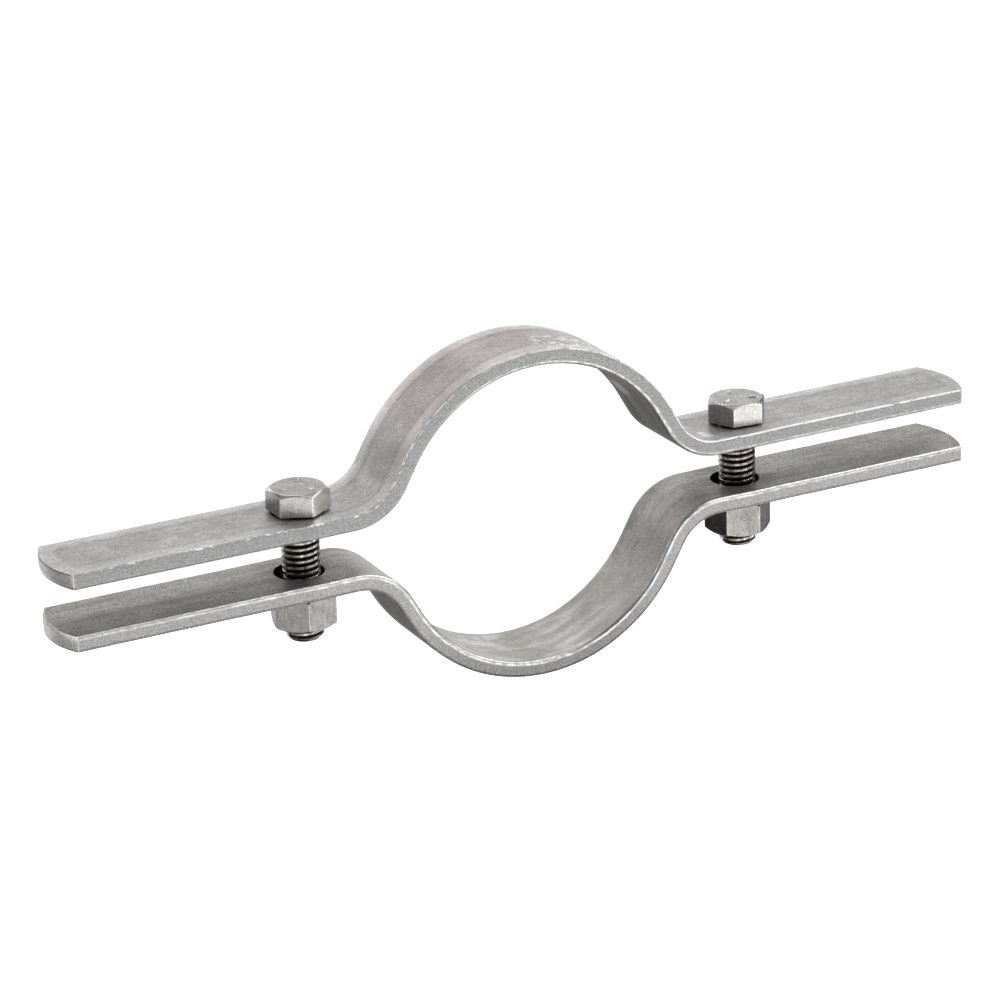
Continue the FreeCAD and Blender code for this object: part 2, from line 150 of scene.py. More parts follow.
class Graph:
    """Adds nodes to one node tree, for a material or for geometry."""

    def __init__(self, tree: bpy.types.NodeTree) -> None:
        """Start on a tree."""
        self.tree = tree

    def node(self, kind: str, settings: Mapping[str, object] | None = None,
             links: Mapping[str, Link] | None = None, output: str | None = None) -> Wire:
        """Add one node of any kind.

        Args:
            kind: The node's type.
            settings: Properties that are set first.
            links: Values or wires for the inputs, by identifier.
            output: The output's identifier, or None for the first that is in use.

        Returns:
            The wire from that output.
        """
        made = self.tree.nodes.new(kind)
        for name, value in (settings or {}).items():
            setattr(made, name, value)
        self.feed(made, links or {})
        usable = [socket for socket in made.outputs if socket.enabled]
        wanted = [socket for socket in usable if socket.identifier == output]
        return Wire(self, (wanted or usable)[0])

    def feed(self, node: bpy.types.Node, links: Mapping[str, Link]) -> None:
        """Link wires to a node's inputs, or set the inputs' own values.

        Args:
            node: The node.
            links: Wires, numbers or three-part colours, by the inputs' identifiers.
        """
        sockets = {socket.identifier: socket for socket in node.inputs}
        for name, value in links.items():
            if isinstance(value, Wire):
                self.tree.links.new(value.socket, sockets[name])
            elif sockets[name].type == "RGBA":
                sockets[name].default_value = (*value, 1.0)
            else:
                sockets[name].default_value = value

    def math(self, operation: str, *values: Operand) -> Wire:
        """Add a Math node on one value or two."""
        links = dict(zip(("Value", "Value_001"), values))
        return self.node("ShaderNodeMath", {"operation": operation}, links)

    def vector_math(self, operation: str, first: Link, second: Link) -> Wire:
        """Add a Vector Math node on two vectors."""
        links = {"Vector": first, "Vector_001": second}
        return self.node("ShaderNodeVectorMath", {"operation": operation}, links, "Vector")

    def join(self, x: Operand, y: Operand, z: Operand) -> Wire:
        """Make a vector of three values."""
        return self.node("ShaderNodeCombineXYZ", None, {"X": x, "Y": y, "Z": z})

    def hypot(self, x: Operand, y: Operand) -> Wire:
        """Return the length of the vector (x, y, 0)."""
        links = {"Vector": self.join(x, y, 0.0)}
        return self.node("ShaderNodeVectorMath", {"operation": "LENGTH"}, links, "Value")

    def split(self, vector: Wire) -> tuple[Wire, ...]:
        """Return a vector's three values."""
        first = self.node("ShaderNodeSeparateXYZ", None, {"Vector": vector})
        return tuple(Wire(self, socket) for socket in first.socket.node.outputs)

    def blend(self, share: Operand, first: Link, second: Link, how: str = "MIX") -> Wire:
        """Blend two colours.

        Args:
            share: How much of the second colour is taken.
            first: The first colour.
            second: The second colour.
            how: The kind of blend.

        Returns:
            The blended colour.
        """
        settings = {"data_type": "RGBA", "blend_type": how, "clamp_factor": True}
        links = {"Factor_Float": share, "A_Color": first, "B_Color": second}
        return self.node("ShaderNodeMix", settings, links, "Result_Color")

    def tint(self, colour: Link, by: Wire | Triple) -> Wire:
        """Multiply a colour by a plain one, or by a wire that holds a shade of grey."""
        grey = self.join(by, by, by) if isinstance(by, Wire) else by
        return self.blend(1.0, colour, grey, "MULTIPLY")

    def layered(self, base: Link, *layers: tuple[Operand, Link]) -> Wire:
        """Lay colours over a base.

        Args:
            base: The colour at the bottom.
            layers: How much is seen of each further colour, and that colour.

        Returns:
            The colour that is seen.
        """
        for share, colour in layers:
            base = self.blend(share, base, colour)
        return base

    def cloud(self, vector: Wire, scale: float | Triple, detail: float = 2.0, rough: float = 0.5,
              warp: float = 0.0) -> Wire:
        """Add a Noise texture.

        Args:
            vector: The coordinates it reads.
            scale: Blotches to the coordinates' unit, one number or one for each direction.
            detail: Finer octaves that are added.
            rough: The share of the finer octaves.
            warp: Distortion of the pattern.

        Returns:
            A value round 0.5.
        """
        if isinstance(scale, tuple):
            vector = self.vector_math("MULTIPLY", vector, scale)
            scale = 1.0
        links = {"Vector": vector, "Scale": scale, "Detail": detail, "Roughness": rough,
                 "Distortion": warp}
        return self.node("ShaderNodeTexNoise", {"normalize": True}, links, "Fac")

    def attribute(self, name: str, output: str = "Fac") -> Wire:
        """Read one of the mesh's own attributes, as a value or as a vector."""
        return self.node("ShaderNodeAttribute", {"attribute_name": name}, None, output)

    def bump(self, strength: float, distance: float, height: Wire) -> Wire:
        """Add a Bump node."""
        links = {"Strength": strength, "Distance": distance, "Height": height}
        return self.node("ShaderNodeBump", None, links)


def new_piece(name: str, mesh: bpy.types.Mesh) -> bpy.types.Object:
    """Put a mesh into the scene as an object at the origin.

    Args:
        name: The object's name.
        mesh: The mesh.

    Returns:
        The object.
    """
    piece = bpy.data.objects.new(name, mesh)
    bpy.context.scene.collection.objects.link(piece)
    return piece


def baked(carrier: bpy.types.Object, modifier: bpy.types.Modifier, name: str) -> bpy.types.Mesh:
    """Turn what a modifier makes into a plain mesh, and remove the modifier and its object.

    Args:
        carrier: The object that has the modifier.
        modifier: The modifier.
        name: The new mesh's name.

    Returns:
        The plain mesh.
    """
    bpy.context.view_layer.update()
    evaluated = carrier.evaluated_get(bpy.context.evaluated_depsgraph_get())
    made = bpy.data.meshes.new_from_object(evaluated)
    made.name = name
    carrier.modifiers.remove(modifier)
    bpy.data.objects.remove(carrier)
    return made


class GeometryTree:
    """A Geometry Nodes tree with named inputs, which a modifier runs on a mesh; the modifier is then
    removed.
    """

    def __init__(self, name: str, inputs: Mapping[str, Sequence[str]]) -> None:
        """Make the tree and its inputs, with a wire for each in "given".

        Args:
            name: The tree's name.
            inputs: The inputs' names, by kind of socket, such as Float.
        """
        self.tree = bpy.data.node_groups.new(name, "GeometryNodeTree")
        self.graph = Graph(self.tree)
        self.keys: dict[str, str] = {}
        face = self.tree.interface
        kinds = {"Geometry": ["Geometry"], **inputs, "Material": ["Finish"]}
        for kind, labels in kinds.items():
            for label in labels:
                socket = face.new_socket(label, in_out="INPUT", socket_type=f"NodeSocket{kind}")
                self.keys[label] = socket.identifier
        face.new_socket("Geometry", in_out="OUTPUT", socket_type="NodeSocketGeometry")
        source = self.tree.nodes.new("NodeGroupInput")
        self.given = {out.name: Wire(self.graph, out) for out in source.outputs if out.name}

    def close(self, geometry: Wire) -> GeometryTree:
        """End the tree in Realize Instances and Set Material.

        Args:
            geometry: The finished geometry.

        Returns:
            The tree itself.
        """
        real = self.graph.node("GeometryNodeRealizeInstances", None, {"Geometry": geometry})
        links = {"Geometry": real, "Material": self.given["Finish"]}
        dressed = self.graph.node("GeometryNodeSetMaterial", None, links)
        end = self.tree.nodes.new("NodeGroupOutput")
        self.tree.links.new(dressed.socket, end.inputs[0])
        return self

    def run(self, mesh: bpy.types.Mesh, name: str, finish: bpy.types.Material,
            sizes: Mapping[str, float], values: Mapping[str, float | int]) -> bpy.types.Mesh:
        """Run the tree on a mesh.

        Args:
            mesh: The mesh that the tree starts from.
            name: The name of the result.
            finish: The result's material.
            sizes: The inputs that are lengths, in millimetres, by name.
            values: The other inputs, by name.

        Returns:
            The result as a plain mesh.
        """
        carrier = new_piece(f"{name}_maker", mesh)
        modifier = carrier.modifiers.new("maker", "NODES")
        modifier.node_group = self.tree
        metres = {label: size * MM for label, size in sizes.items()}
        for label, value in {**metres, **values, "Finish": finish}.items():
            modifier[self.keys[label]] = value
        return baked(carrier, modifier, name)


@dataclass(frozen=True)
class Finish:
    """A material, whose kind says what feeds its shader."""

    name: str

    def sockets(self, graph: Graph, body: Wire) -> dict[str, Link]:
        """Return what feeds the shader's inputs, from places on the piece."""
        raise NotImplementedError

    def build(self) -> bpy.types.Material:
        """Make the material.

        Returns:
            The material.
        """
        material = bpy.data.materials.new(self.name)
        material.use_nodes = True
        graph = Graph(material.node_tree)
        body = graph.node("ShaderNodeTexCoord", None, None, "Object")
        graph.feed(material.node_tree.nodes["Principled BSDF"], self.sockets(graph, body))
        return material


class BarPattern:
    """The noises of the bar's steel, and masks that are 1 in their place on the bar."""

    def __init__(self, graph: Graph, body: Wire, steel: StrapSteel) -> None:
        """Work out the noises, and the masks from places in millimetres on the flat bar.

        Args:
            graph: The material's graph.
            body: Places in the clamp.
            steel: The finish, with the bar's sizes.
        """
        bar = graph.attribute(BAR_ATTRIBUTE, "Vector")
        self.patch = graph.cloud(body, 34.0, 2.0, 0.5, 0.3)
        self.blotch = graph.cloud(body, 120.0, 3.0, 0.55, 0.6)
        self.mottle = graph.cloud(body, 430.0, 3.0, 0.6)
        self.grain = graph.cloud(body, 1500.0, 2.0, 0.7)
        self.fine = graph.cloud(body, 3300.0, 1.0, 0.6)
        self.fibre = graph.cloud(bar, (300.0, 2000.0, 1700.0), 2.0, 0.6)
        self.sheared = graph.cloud(bar, (1900.0, 330.0, 1900.0), 2.0, 0.6)
        self.streak = graph.cloud(bar, (45.0, 400.0, 240.0), 2.0, 0.5)
        self.broken = graph.cloud(bar, (420.0, 700.0, 700.0), 3.0, 0.65)
        wander = 1.1 * (graph.cloud(bar, (420.0, 900.0, 900.0), 3.0, 0.6) - 0.5)

        length, depth, across = graph.split(graph.vector_math("MULTIPLY", bar, (1.0 / MM,) * 3))
        reach = length.apply("ABSOLUTE")
        from_side = across.low(steel.bar_width - across)
        from_outer = steel.bar_thickness - depth
        from_end = steel.half_length - reach
        from_rim = from_side.low(from_end)
        middle, hole, band = steel.bar_width / 2, steel.hole_radius, steel.band_width
        off_hole = graph.hypot(reach - steel.hole_place, across - middle)
        scuff_along = length - steel.hole_place + steel.scuff_before_hole
        off_scuff = graph.hypot(1.2 * scuff_along, across - steel.scuff_across)
        # Painted highlight: a bright streak laid on the head half's inner face where a reflection falls;
        # this is where it lies.
        off_glint = graph.hypot(length - steel.glint_along, 0.7 * (across - steel.glint_across))

        # A mask's two numbers say where it begins and where it is full, in millimetres.
        self.narrow = from_side.ramp(0.30, 0.08)
        self.end_face = from_end.ramp(0.30, 0.08)
        self.torn_end = depth.ramp(1.9, 1.3)
        self.pipe_side = depth.ramp(0.55 * steel.bar_thickness, 0.45 * steel.bar_thickness)
        self.rough_cut = self.narrow.high(self.end_face)
        self.inside = self.pipe_side * (1.0 - self.rough_cut)
        self.outside = (1.0 - self.pipe_side) * (1.0 - self.rough_cut)
        self.band = (from_rim + wander).ramp(band + 0.7, band - 0.7)
        self.rim = from_rim.ramp(2.4, 0.2)
        self.groove_line = from_rim.ramp(band + 2.2, band + 1.4) * from_rim.ramp(band, band + 0.8)
        self.outer_edge = (from_rim + from_outer + 0.5 * wander).ramp(0.62, 0.36)
        self.outer_line = self.narrow * (from_outer + 0.4 * wander).ramp(0.85, 0.55)
        self.upright_corner = (from_side + from_end).ramp(0.75, 0.35)
        pipe_corner = 1.7 * from_side + depth + 0.6 * wander
        self.pipe_edge = pipe_corner.ramp(steel.pipe_line, 0.62 * steel.pipe_line)
        # Painted shade: the hole's wall and a thin ring round it are laid near black.
        self.hole_wall = off_hole.ramp(hole + 0.30, hole + 0.05)
        self.round_hole = off_hole.ramp(hole + 8.0, hole)
        self.seat_middle = reach.ramp(52.0, 16.0)
        self.seat = reach.ramp(60.0, 48.0)
        self.seat_back = self.seat * (1.0 - self.pipe_side)
        self.ear = reach.ramp(62.0, 80.0)
        self.scuff = off_scuff.ramp(3.6, 2.0)
        self.back_rim = across.ramp(6.0, 0.3)
        self.glint = off_glint.ramp(5.0, 1.0)
        self.rightward = length.ramp(-42.0, -12.0)
        self.along = length.ramp(-0.9 * steel.half_length, 0.7 * steel.half_length)
        self.flecked = length.ramp(0.0, 5.0) * length.ramp(34.0, 22.0) * across.ramp(9.0, 14.0)


@dataclass(frozen=True)
class StrapSteel(Finish):
    """Pickled hot-rolled bar: matt grey, finely grained, with speckled sheared narrow faces.

    Sizes are in millimetres.
    """

    hole_place: float
    half_length: float
    bar_width: float
    bar_thickness: float
    hole_radius: float
    pale: Triple = (0.545, 0.540, 0.532)
    dusky: Triple = (0.485, 0.475, 0.460)
    # Tint of the inner faces, which on the head half also stands for painted shade.
    pipe_tint: Triple = (0.86, 0.845, 0.825)
    seat_tint: Triple = (1.0, 0.955, 0.955)
    narrow: Triple = (0.52, 0.52, 0.515)
    sheared_end: Triple = (0.60, 0.59, 0.575)
    torn: Triple = (0.76, 0.735, 0.70)
    bright: Triple = (0.86, 0.855, 0.845)
    bare: Triple = (1.0, 0.995, 0.985)
    pit: Triple = (0.20, 0.19, 0.18)
    oil: Triple = (0.20, 0.175, 0.155)
    # Near black of the painted shade in the holes.
    hole_wall: Triple = (0.06, 0.055, 0.05)
    band_lift: float = 0.24
    rim_lift: float = 0.10
    back_lift: float = 0.26
    narrow_middle: float = 1.0
    outer_line: float = 0.0
    chalk: float = 0.0
    smudge: float = 0.0
    scuff: float = 0.0
    dirt: float = 0.0
    coarse: float = 0.0
    burr_line: float = 0.0
    # How far the painted highlight on the pipe-side edge fades out towards the left end.
    left_fade: float = 0.0
    streaks: float = 0.0
    # How strongly the painted highlight streak is laid on the inner face.
    glint: float = 0.0
    # How strongly the outer edges' wear and painted highlight are laid.
    rim_wear: float = 1.0
    corner_wear: float = 0.70
    metallic: float = 0.90
    roughness: float = 0.46
    bump_depth: float = 0.22
    band_width: float = 4.5
    pipe_line: float = 1.55
    scuff_before_hole: float = 14.0
    scuff_across: float = 19.5
    # Where the painted highlight streak lies, in millimetres along and across the bar.
    glint_along: float = 43.5
    glint_across: float = 7.5

    def wide_faces(self, graph: Graph, at: BarPattern) -> Wire:
        """Return the colour of the bar's wide faces, before their grain.

        Args:
            graph: The material's graph.
            at: The bar's noises and masks.

        Returns:
            The colour.
        """
        wide = graph.blend((0.5 * at.blotch + 0.5 * at.patch).ramp(0.40, 0.60), self.dusky, self.pale)
        wide = graph.blend(at.pipe_side, wide, graph.tint(wide, self.pipe_tint))
        chalky = at.seat_middle * (0.7 * at.streak + 0.3 * at.blotch).ramp(0.44, 0.64)
        smeared = 0.6 * at.streak + 0.4 * at.mottle
        wide = graph.layered(
            wide,
            (self.chalk * at.pipe_side * chalky, self.bright),
            (self.smudge * at.pipe_side * at.round_hole * smeared.ramp(0.40, 0.56), self.oil),
            (self.dirt * at.pipe_side * (1.0 - at.seat_middle) * smeared.ramp(0.47, 0.60), self.oil))
        return graph.blend(at.seat_back, wide, graph.tint(wide, self.seat_tint))

    def shade(self, at: BarPattern) -> Wire:
        """Return how much lighter or darker than its colour each point is.

        Args:
            at: The bar's noises and masks.

        Returns:
            A value round 1.
        """
        noises = (at.fine, at.grain, at.mottle, at.blotch, at.fibre, at.sheared, at.streak)
        fine, grain, mottle, blotch, fibre, sheared, streak = (noise - 0.5 for noise in noises)
        calm = 1.0 - 0.40 * at.inside * (1.0 - at.ear)
        outer_lift = (
            (0.62 + 0.38 * at.seat) * (self.band_lift * at.band + self.rim_lift * at.rim)
            + self.back_lift * at.back_rim - 0.08 * at.groove_line)
        return (
            1.0 + calm * (0.95 * fine + 0.80 * grain)
            + (0.40 * mottle + 0.20 * blotch) * (1.0 - 0.6 * at.rough_cut)
            + 0.75 * calm * fibre * (1.0 - at.rough_cut) * (1.0 - 0.65 * at.seat_back)
            + 0.35 * sheared * at.rough_cut
            + at.inside * (self.streaks * streak + 0.24 * self.chalk * at.seat_middle)
            + self.coarse * at.inside * at.ear * (0.9 * mottle + 1.1 * grain)
            + at.outside * outer_lift)

    def colour(self, graph: Graph, at: BarPattern) -> Wire:
        """Return the base colour, before wear and painted highlights are laid on the edges.

        Args:
            graph: The material's graph.
            at: The bar's noises and masks.

        Returns:
            The colour.
        """
        dimmed = 1.0 - (1.0 - self.narrow_middle) * at.seat_middle - self.outer_line * at.outer_line
        base = graph.layered(
            self.wide_faces(graph, at),
            (at.narrow, graph.tint(self.narrow, dimmed)),
            (at.end_face, graph.blend(at.torn_end, self.sheared_end, self.torn)))
        freckled = 0.22 * at.seat_middle * (1.0 - at.end_face) * at.patch.ramp(0.35, 0.60)
        speckle = (
            0.10 + at.rough_cut * (0.10 + freckled) + 0.30 * self.coarse * at.inside * at.ear
            + (0.20 * at.torn_end + 0.25 * self.coarse) * at.end_face)
        salt = 0.55 * at.grain + 0.45 * at.fine
        scuffed = at.scuff * (0.6 * at.grain + 0.4 * at.mottle).ramp(0.42, 0.50)
        flecks = at.flecked * (0.5 * at.grain + 0.5 * at.mottle).ramp(0.525, 0.575)
        return graph.layered(
            graph.tint(base, self.shade(at)),
            (salt.ramp(0.53, 0.66) * speckle, self.bright),
            (salt.ramp(0.47, 0.35) * speckle, self.pit),
            (self.scuff * scuffed.high(flecks) * at.outside, self.bare),
            # Painted highlight streak on the inner face.
            (self.glint * at.glint * at.inside, self.bright))

    def sockets(self, graph: Graph, body: Wire) -> dict[str, Link]:
        """Return what feeds the shader.

        Args:
            graph: The material's graph.
            body: Places in the clamp.

        Returns:
            Values and wires, by the inputs' identifiers.
        """
        at = BarPattern(graph, body, self)
        # The broken near-white line on the outer edges is partly wear and partly painted highlight, where
        # the burr catches the light.
        kept = (at.broken + 0.18 * (at.along - 0.5)).ramp(0.445, 0.505)
        shown = (1.0 - 0.8 * at.end_face) * (1.0 - 0.5 * at.seat_middle)
        worn = self.rim_wear * at.outer_edge * kept * shown
        under = at.narrow * at.outer_line * (1.0 - at.outer_edge) * (0.35 + 0.65 * kept)
        # The bright line along the pipe-side edges is partly polish and partly painted highlight; it is
        # faded out towards the left end of the bar.
        rubbed = 0.45 + 0.55 * at.broken.ramp(0.42, 0.54)
        faded = 1.0 - self.left_fade * (1.0 - at.rightward)
        polished = (at.pipe_edge * rubbed * faded).high(self.corner_wear * at.upright_corner)
        base = graph.layered(
            self.colour(graph, at),
            (self.burr_line * under, self.pit),
            (0.95 * worn, self.bare),
            (0.75 * at.outer_edge * at.end_face, self.pit),
            (0.9 * polished, self.bright),
            (at.hole_wall, self.hole_wall))
        relief = (0.6 * at.grain + 0.4 * at.fibre) * (1.0 - 0.6 * polished)
        return {
            "Base Color": base,
            "Roughness": self.roughness + 0.14 * (at.grain - 0.5) - 0.10 * worn - 0.16 * polished,
            "Metallic": self.metallic,
            "Normal": graph.bump(0.6, self.bump_depth * MM, relief),
        }


@dataclass(frozen=True)
class FastenerSteel(Finish):
    """Cold-headed steel: brushed, its edges worn and painted as highlight, its grooves oiled and painted
    as shade.

    Sizes are in millimetres.
    """

    name: str = "fastener_steel_finish"
    pale: Triple = (0.60, 0.585, 0.565)
    dusky: Triple = (0.48, 0.465, 0.445)
    bright: Triple = (0.90, 0.89, 0.87)
    stain: Triple = (0.36, 0.33, 0.29)
    film: Triple = (0.84, 0.795, 0.755)
    # Near black laid in the thread's grooves and under the heads: partly oiled steel, partly painted
    # shade.
    oil: Triple = (0.055, 0.046, 0.038)
    metallic: float = 1.0
    roughness: float = 0.30
    bump_depth: float = 0.12

    def sockets(self, graph: Graph, body: Wire) -> dict[str, Link]:
        """Return what feeds the shader.

        Args:
            graph: The material's graph.
            body: Places in the clamp.

        Returns:
            Values and wires, by the inputs' identifiers.
        """
        groove = graph.attribute(GROOVE_ATTRIBUTE)
        wear = graph.attribute(WEAR_ATTRIBUTE)
        brushed = graph.cloud(body, (2200.0, 190.0, 2200.0), 3.0, 0.65)
        blotch = graph.cloud(body, 300.0, 3.0, 0.6, 0.5)
        grain = graph.cloud(body, 1700.0, 2.0, 0.7)
        stain = graph.cloud(body, 620.0, 4.0, 0.7, 1.2)
        smear = graph.cloud(body, 760.0, 3.0, 0.7, 0.8)

        base = graph.blend(blotch.ramp(0.36, 0.64), self.dusky, self.pale)
        base = graph.blend(0.55 * stain.ramp(0.50, 0.66), base, self.stain)
        shade = 0.5 + brushed + 0.75 * (grain - 0.5) + 0.5 * (stain - 0.5)
        # The wear attribute also carries each facet's painted light (plus) and painted shade (minus), and
        # the painted highlights on edges.
        base = graph.tint(base, shade * (1.0 + wear.low(0.0)))
        base = graph.blend(wear.high(0.0) * (0.25 + 1.6 * (grain - 0.2)), base, self.bright)
        oily = groove.ramp(0.01, 0.08)
        level = graph.split(body)[1] / MM
        by_hole = level.ramp(1.0, -6.0) * level.ramp(-18.0, -12.0)
        tip = level.ramp(-21.5, -24.5)
        # Darkening in the grooves, near the strap's hole and on the marked undersides: partly oiled
        # steel, partly painted shade.
        soaked = groove + oily * (
            1.9 * (stain - 0.5) + 0.8 * (grain - 0.5) + 0.28 * by_hole - 0.16 * tip)
        # Painted highlights: bright, less rough spots laid on the thread's crests.
        spark = oily * groove.ramp(0.60, 0.30) * smear.ramp(0.55, 0.64)
        return {
            "Base Color": graph.layered(
                base,
                (oily, graph.tint(base, self.film)),
                (soaked.ramp(0.31, 0.63), self.oil),
                (0.75 * spark, self.bright)),
            "Roughness": (self.roughness + 0.20 * (blotch - 0.5) + 0.16 * (brushed - 0.5)
                          - 0.12 * spark),
            "Metallic": self.metallic,
            "Normal": graph.bump(0.5, self.bump_depth * MM, 0.6 * brushed + 0.4 * grain),
        }


@dataclass(frozen=True)
class FloorPaper(Finish):
    """Plain pale studio paper."""

    name: str = "floor_paper"
    dim: Triple = (0.90, 0.90, 0.90)
    pale: Triple = (0.92, 0.92, 0.92)
    glow: float = 0.94

    def sockets(self, graph: Graph, body: Wire) -> dict[str, Link]:
        """Return what feeds the shader.

        Args:
            graph: The material's graph.
            body: Places on the floor.

        Returns:
            Values and wires, by the inputs' identifiers.
        """
        return {
            "Base Color": graph.blend(graph.cloud(body, 900.0, 2.0, 0.5), self.dim, self.pale),
            "Roughness": 0.9,
            "Specular IOR Level": 0.0,
            "Emission Color": (1.0, 1.0, 1.0),
            "Emission Strength": self.glow,
        }


def rounded(first: np.ndarray, second: np.ndarray, radius: np.ndarray | float) -> tuple:
    """Roll the square edge between two faces into an arc.

    Args:
        first: Distances from one face.
        second: Distances from the other face.
        radius: The arc's radius, one for all points or one for each.

    Returns:
        The two new distances.
    """
    radius = np.broadcast_to(np.asarray(radius, float), first.shape)
    on_first = (first <= 1e-9) & (second < radius)
    on_second = (second <= 1e-9) & (first < radius)
    new_first = first.copy()
    new_second = second.copy()
    for face, walk, out_face, out_walk in (
            (on_first, second, new_first, new_second), (on_second, first, new_second, new_first)):
        turn = (1.0 - walk[face] / radius[face]) * (math.pi / 4)
        out_walk[face] = radius[face] * (1.0 - np.sin(turn))
        out_face[face] = radius[face] * (1.0 - np.cos(turn))
    return new_first, new_second


def uneven(places: np.ndarray, scale: float, seed: float) -> np.ndarray:
    """Return a smooth ripple from -1 to 1 at each place.

    Args:
        places: Points, three numbers each.
        scale: Ripples to the unit.
        seed: Where in the ripple's space the points are read.

    Returns:
        One value a point.
    """
    shift = Vector((seed * 17.3, seed * 5.1, seed * 9.7))
    return np.array([ripple.noise(Vector(place) * scale + shift) for place in places])


def stacked(*columns: np.ndarray | float) -> np.ndarray:
    """Return points of columns such as x, y and z, where a plain number holds for all."""
    return np.stack(np.broadcast_arrays(*columns), -1)


class Facets:
    """Collects sheets of faces, and joins points that share a place."""

    def __init__(self) -> None:
        """Start with nothing."""
        self.points: list[np.ndarray] = []
        self.faces: list[np.ndarray] = []

    def grid(self, points: np.ndarray, flip: bool = False, skip: np.ndarray | None = None) -> Facets:
        """Add a sheet of four-sided faces.

        Args:
            points: Points in rows and columns, three numbers each, or more that ride along.
            flip: Whether the faces are turned over.
            skip: Which cells are left open, in rows and columns.

        Returns:
            The collection itself.
        """
        rows, columns = points.shape[:2]
        before = sum(len(sheet) for sheet in self.points)
        number = np.arange(rows * columns).reshape(rows, columns) + before
        corners = [number[:-1, :-1], number[1:, :-1], number[1:, 1:], number[:-1, 1:]]
        cells = np.stack(corners[::-1] if flip else corners, axis=-1)
        self.points.append(points.reshape(-1, points.shape[-1]))
        self.faces.append(cells.reshape(-1, 4) if skip is None else cells[~skip])
        return self

    def welded(self) -> tuple[np.ndarray, list[list[int]]]:
        """Join the points that share a place.

        Returns:
            The points, and each face as its points' numbers.
        """
        points = np.concatenate(self.points)
        _, first, place = np.unique(np.round(points / WELD_STEP).astype(np.int64), axis=0,
                                    return_index=True, return_inverse=True)
        faces = []
        for face in place.reshape(-1)[np.concatenate(self.faces)]:
            ring = [point for number, point in enumerate(face) if point != face[number - 1]]
            if len(ring) > 2:
                faces.append(ring)
        used = np.unique(np.concatenate(faces))
        renumbered = np.zeros(len(first), int)
        renumbered[used] = np.arange(len(used))
        return points[first][used], [renumbered[face].tolist() for face in faces]


def mesh_of(name: str, points: np.ndarray, faces: list[list[int]],
            marks: Mapping[str, np.ndarray]) -> bpy.types.Mesh:
    """Make a mesh that is shaded smooth.

    Args:
        name: The mesh's name.
        points: Points in millimetres.
        faces: Each face as its points' numbers.
        marks: What the points carry, by attribute, one number or three each.

    Returns:
        The mesh, in metres.
    """
    mesh = bpy.data.meshes.new(name)
    mesh.from_pydata((points * MM).tolist(), [], faces)
    mesh.polygons.foreach_set("use_smooth", [True] * len(mesh.polygons))
    for mark, values in marks.items():
        kind, key = ("FLOAT", "value") if values.ndim == 1 else ("FLOAT_VECTOR", "vector")
        attribute = mesh.attributes.new(mark, kind, "POINT")
        attribute.data.foreach_set(key, values.astype(np.float32).ravel())
    mesh.update()
    return mesh


def fastener_mesh(name: str, marked: np.ndarray, faces: list[list[int]],
                  steel: bpy.types.Material) -> bpy.types.Mesh:
    """Make a mesh of points that each hold x, y, z, wear and how oily they are.

    Args:
        name: The mesh's name.
        marked: The points, in millimetres.
        faces: Each face as its points' numbers.
        steel: The finish.

    Returns:
        The mesh, in metres.
    """
    marks = {WEAR_ATTRIBUTE: marked[:, 3], GROOVE_ATTRIBUTE: marked[:, 4]}
    mesh = mesh_of(name, marked[:, :3], faces, marks)
    mesh.materials.append(steel)
    return mesh


def attach(piece: bpy.types.Object, node: str) -> bpy.types.Object:
    """Let a piece ride on a node's body and stand for the node.

    Args:
        piece: The finished piece.
        node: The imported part's node.

    Returns:
        The piece.
    """
    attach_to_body(piece, node)
    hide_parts(node)
    LOG.info("%s: %d faces", piece.name, len(piece.data.polygons))
    return piece


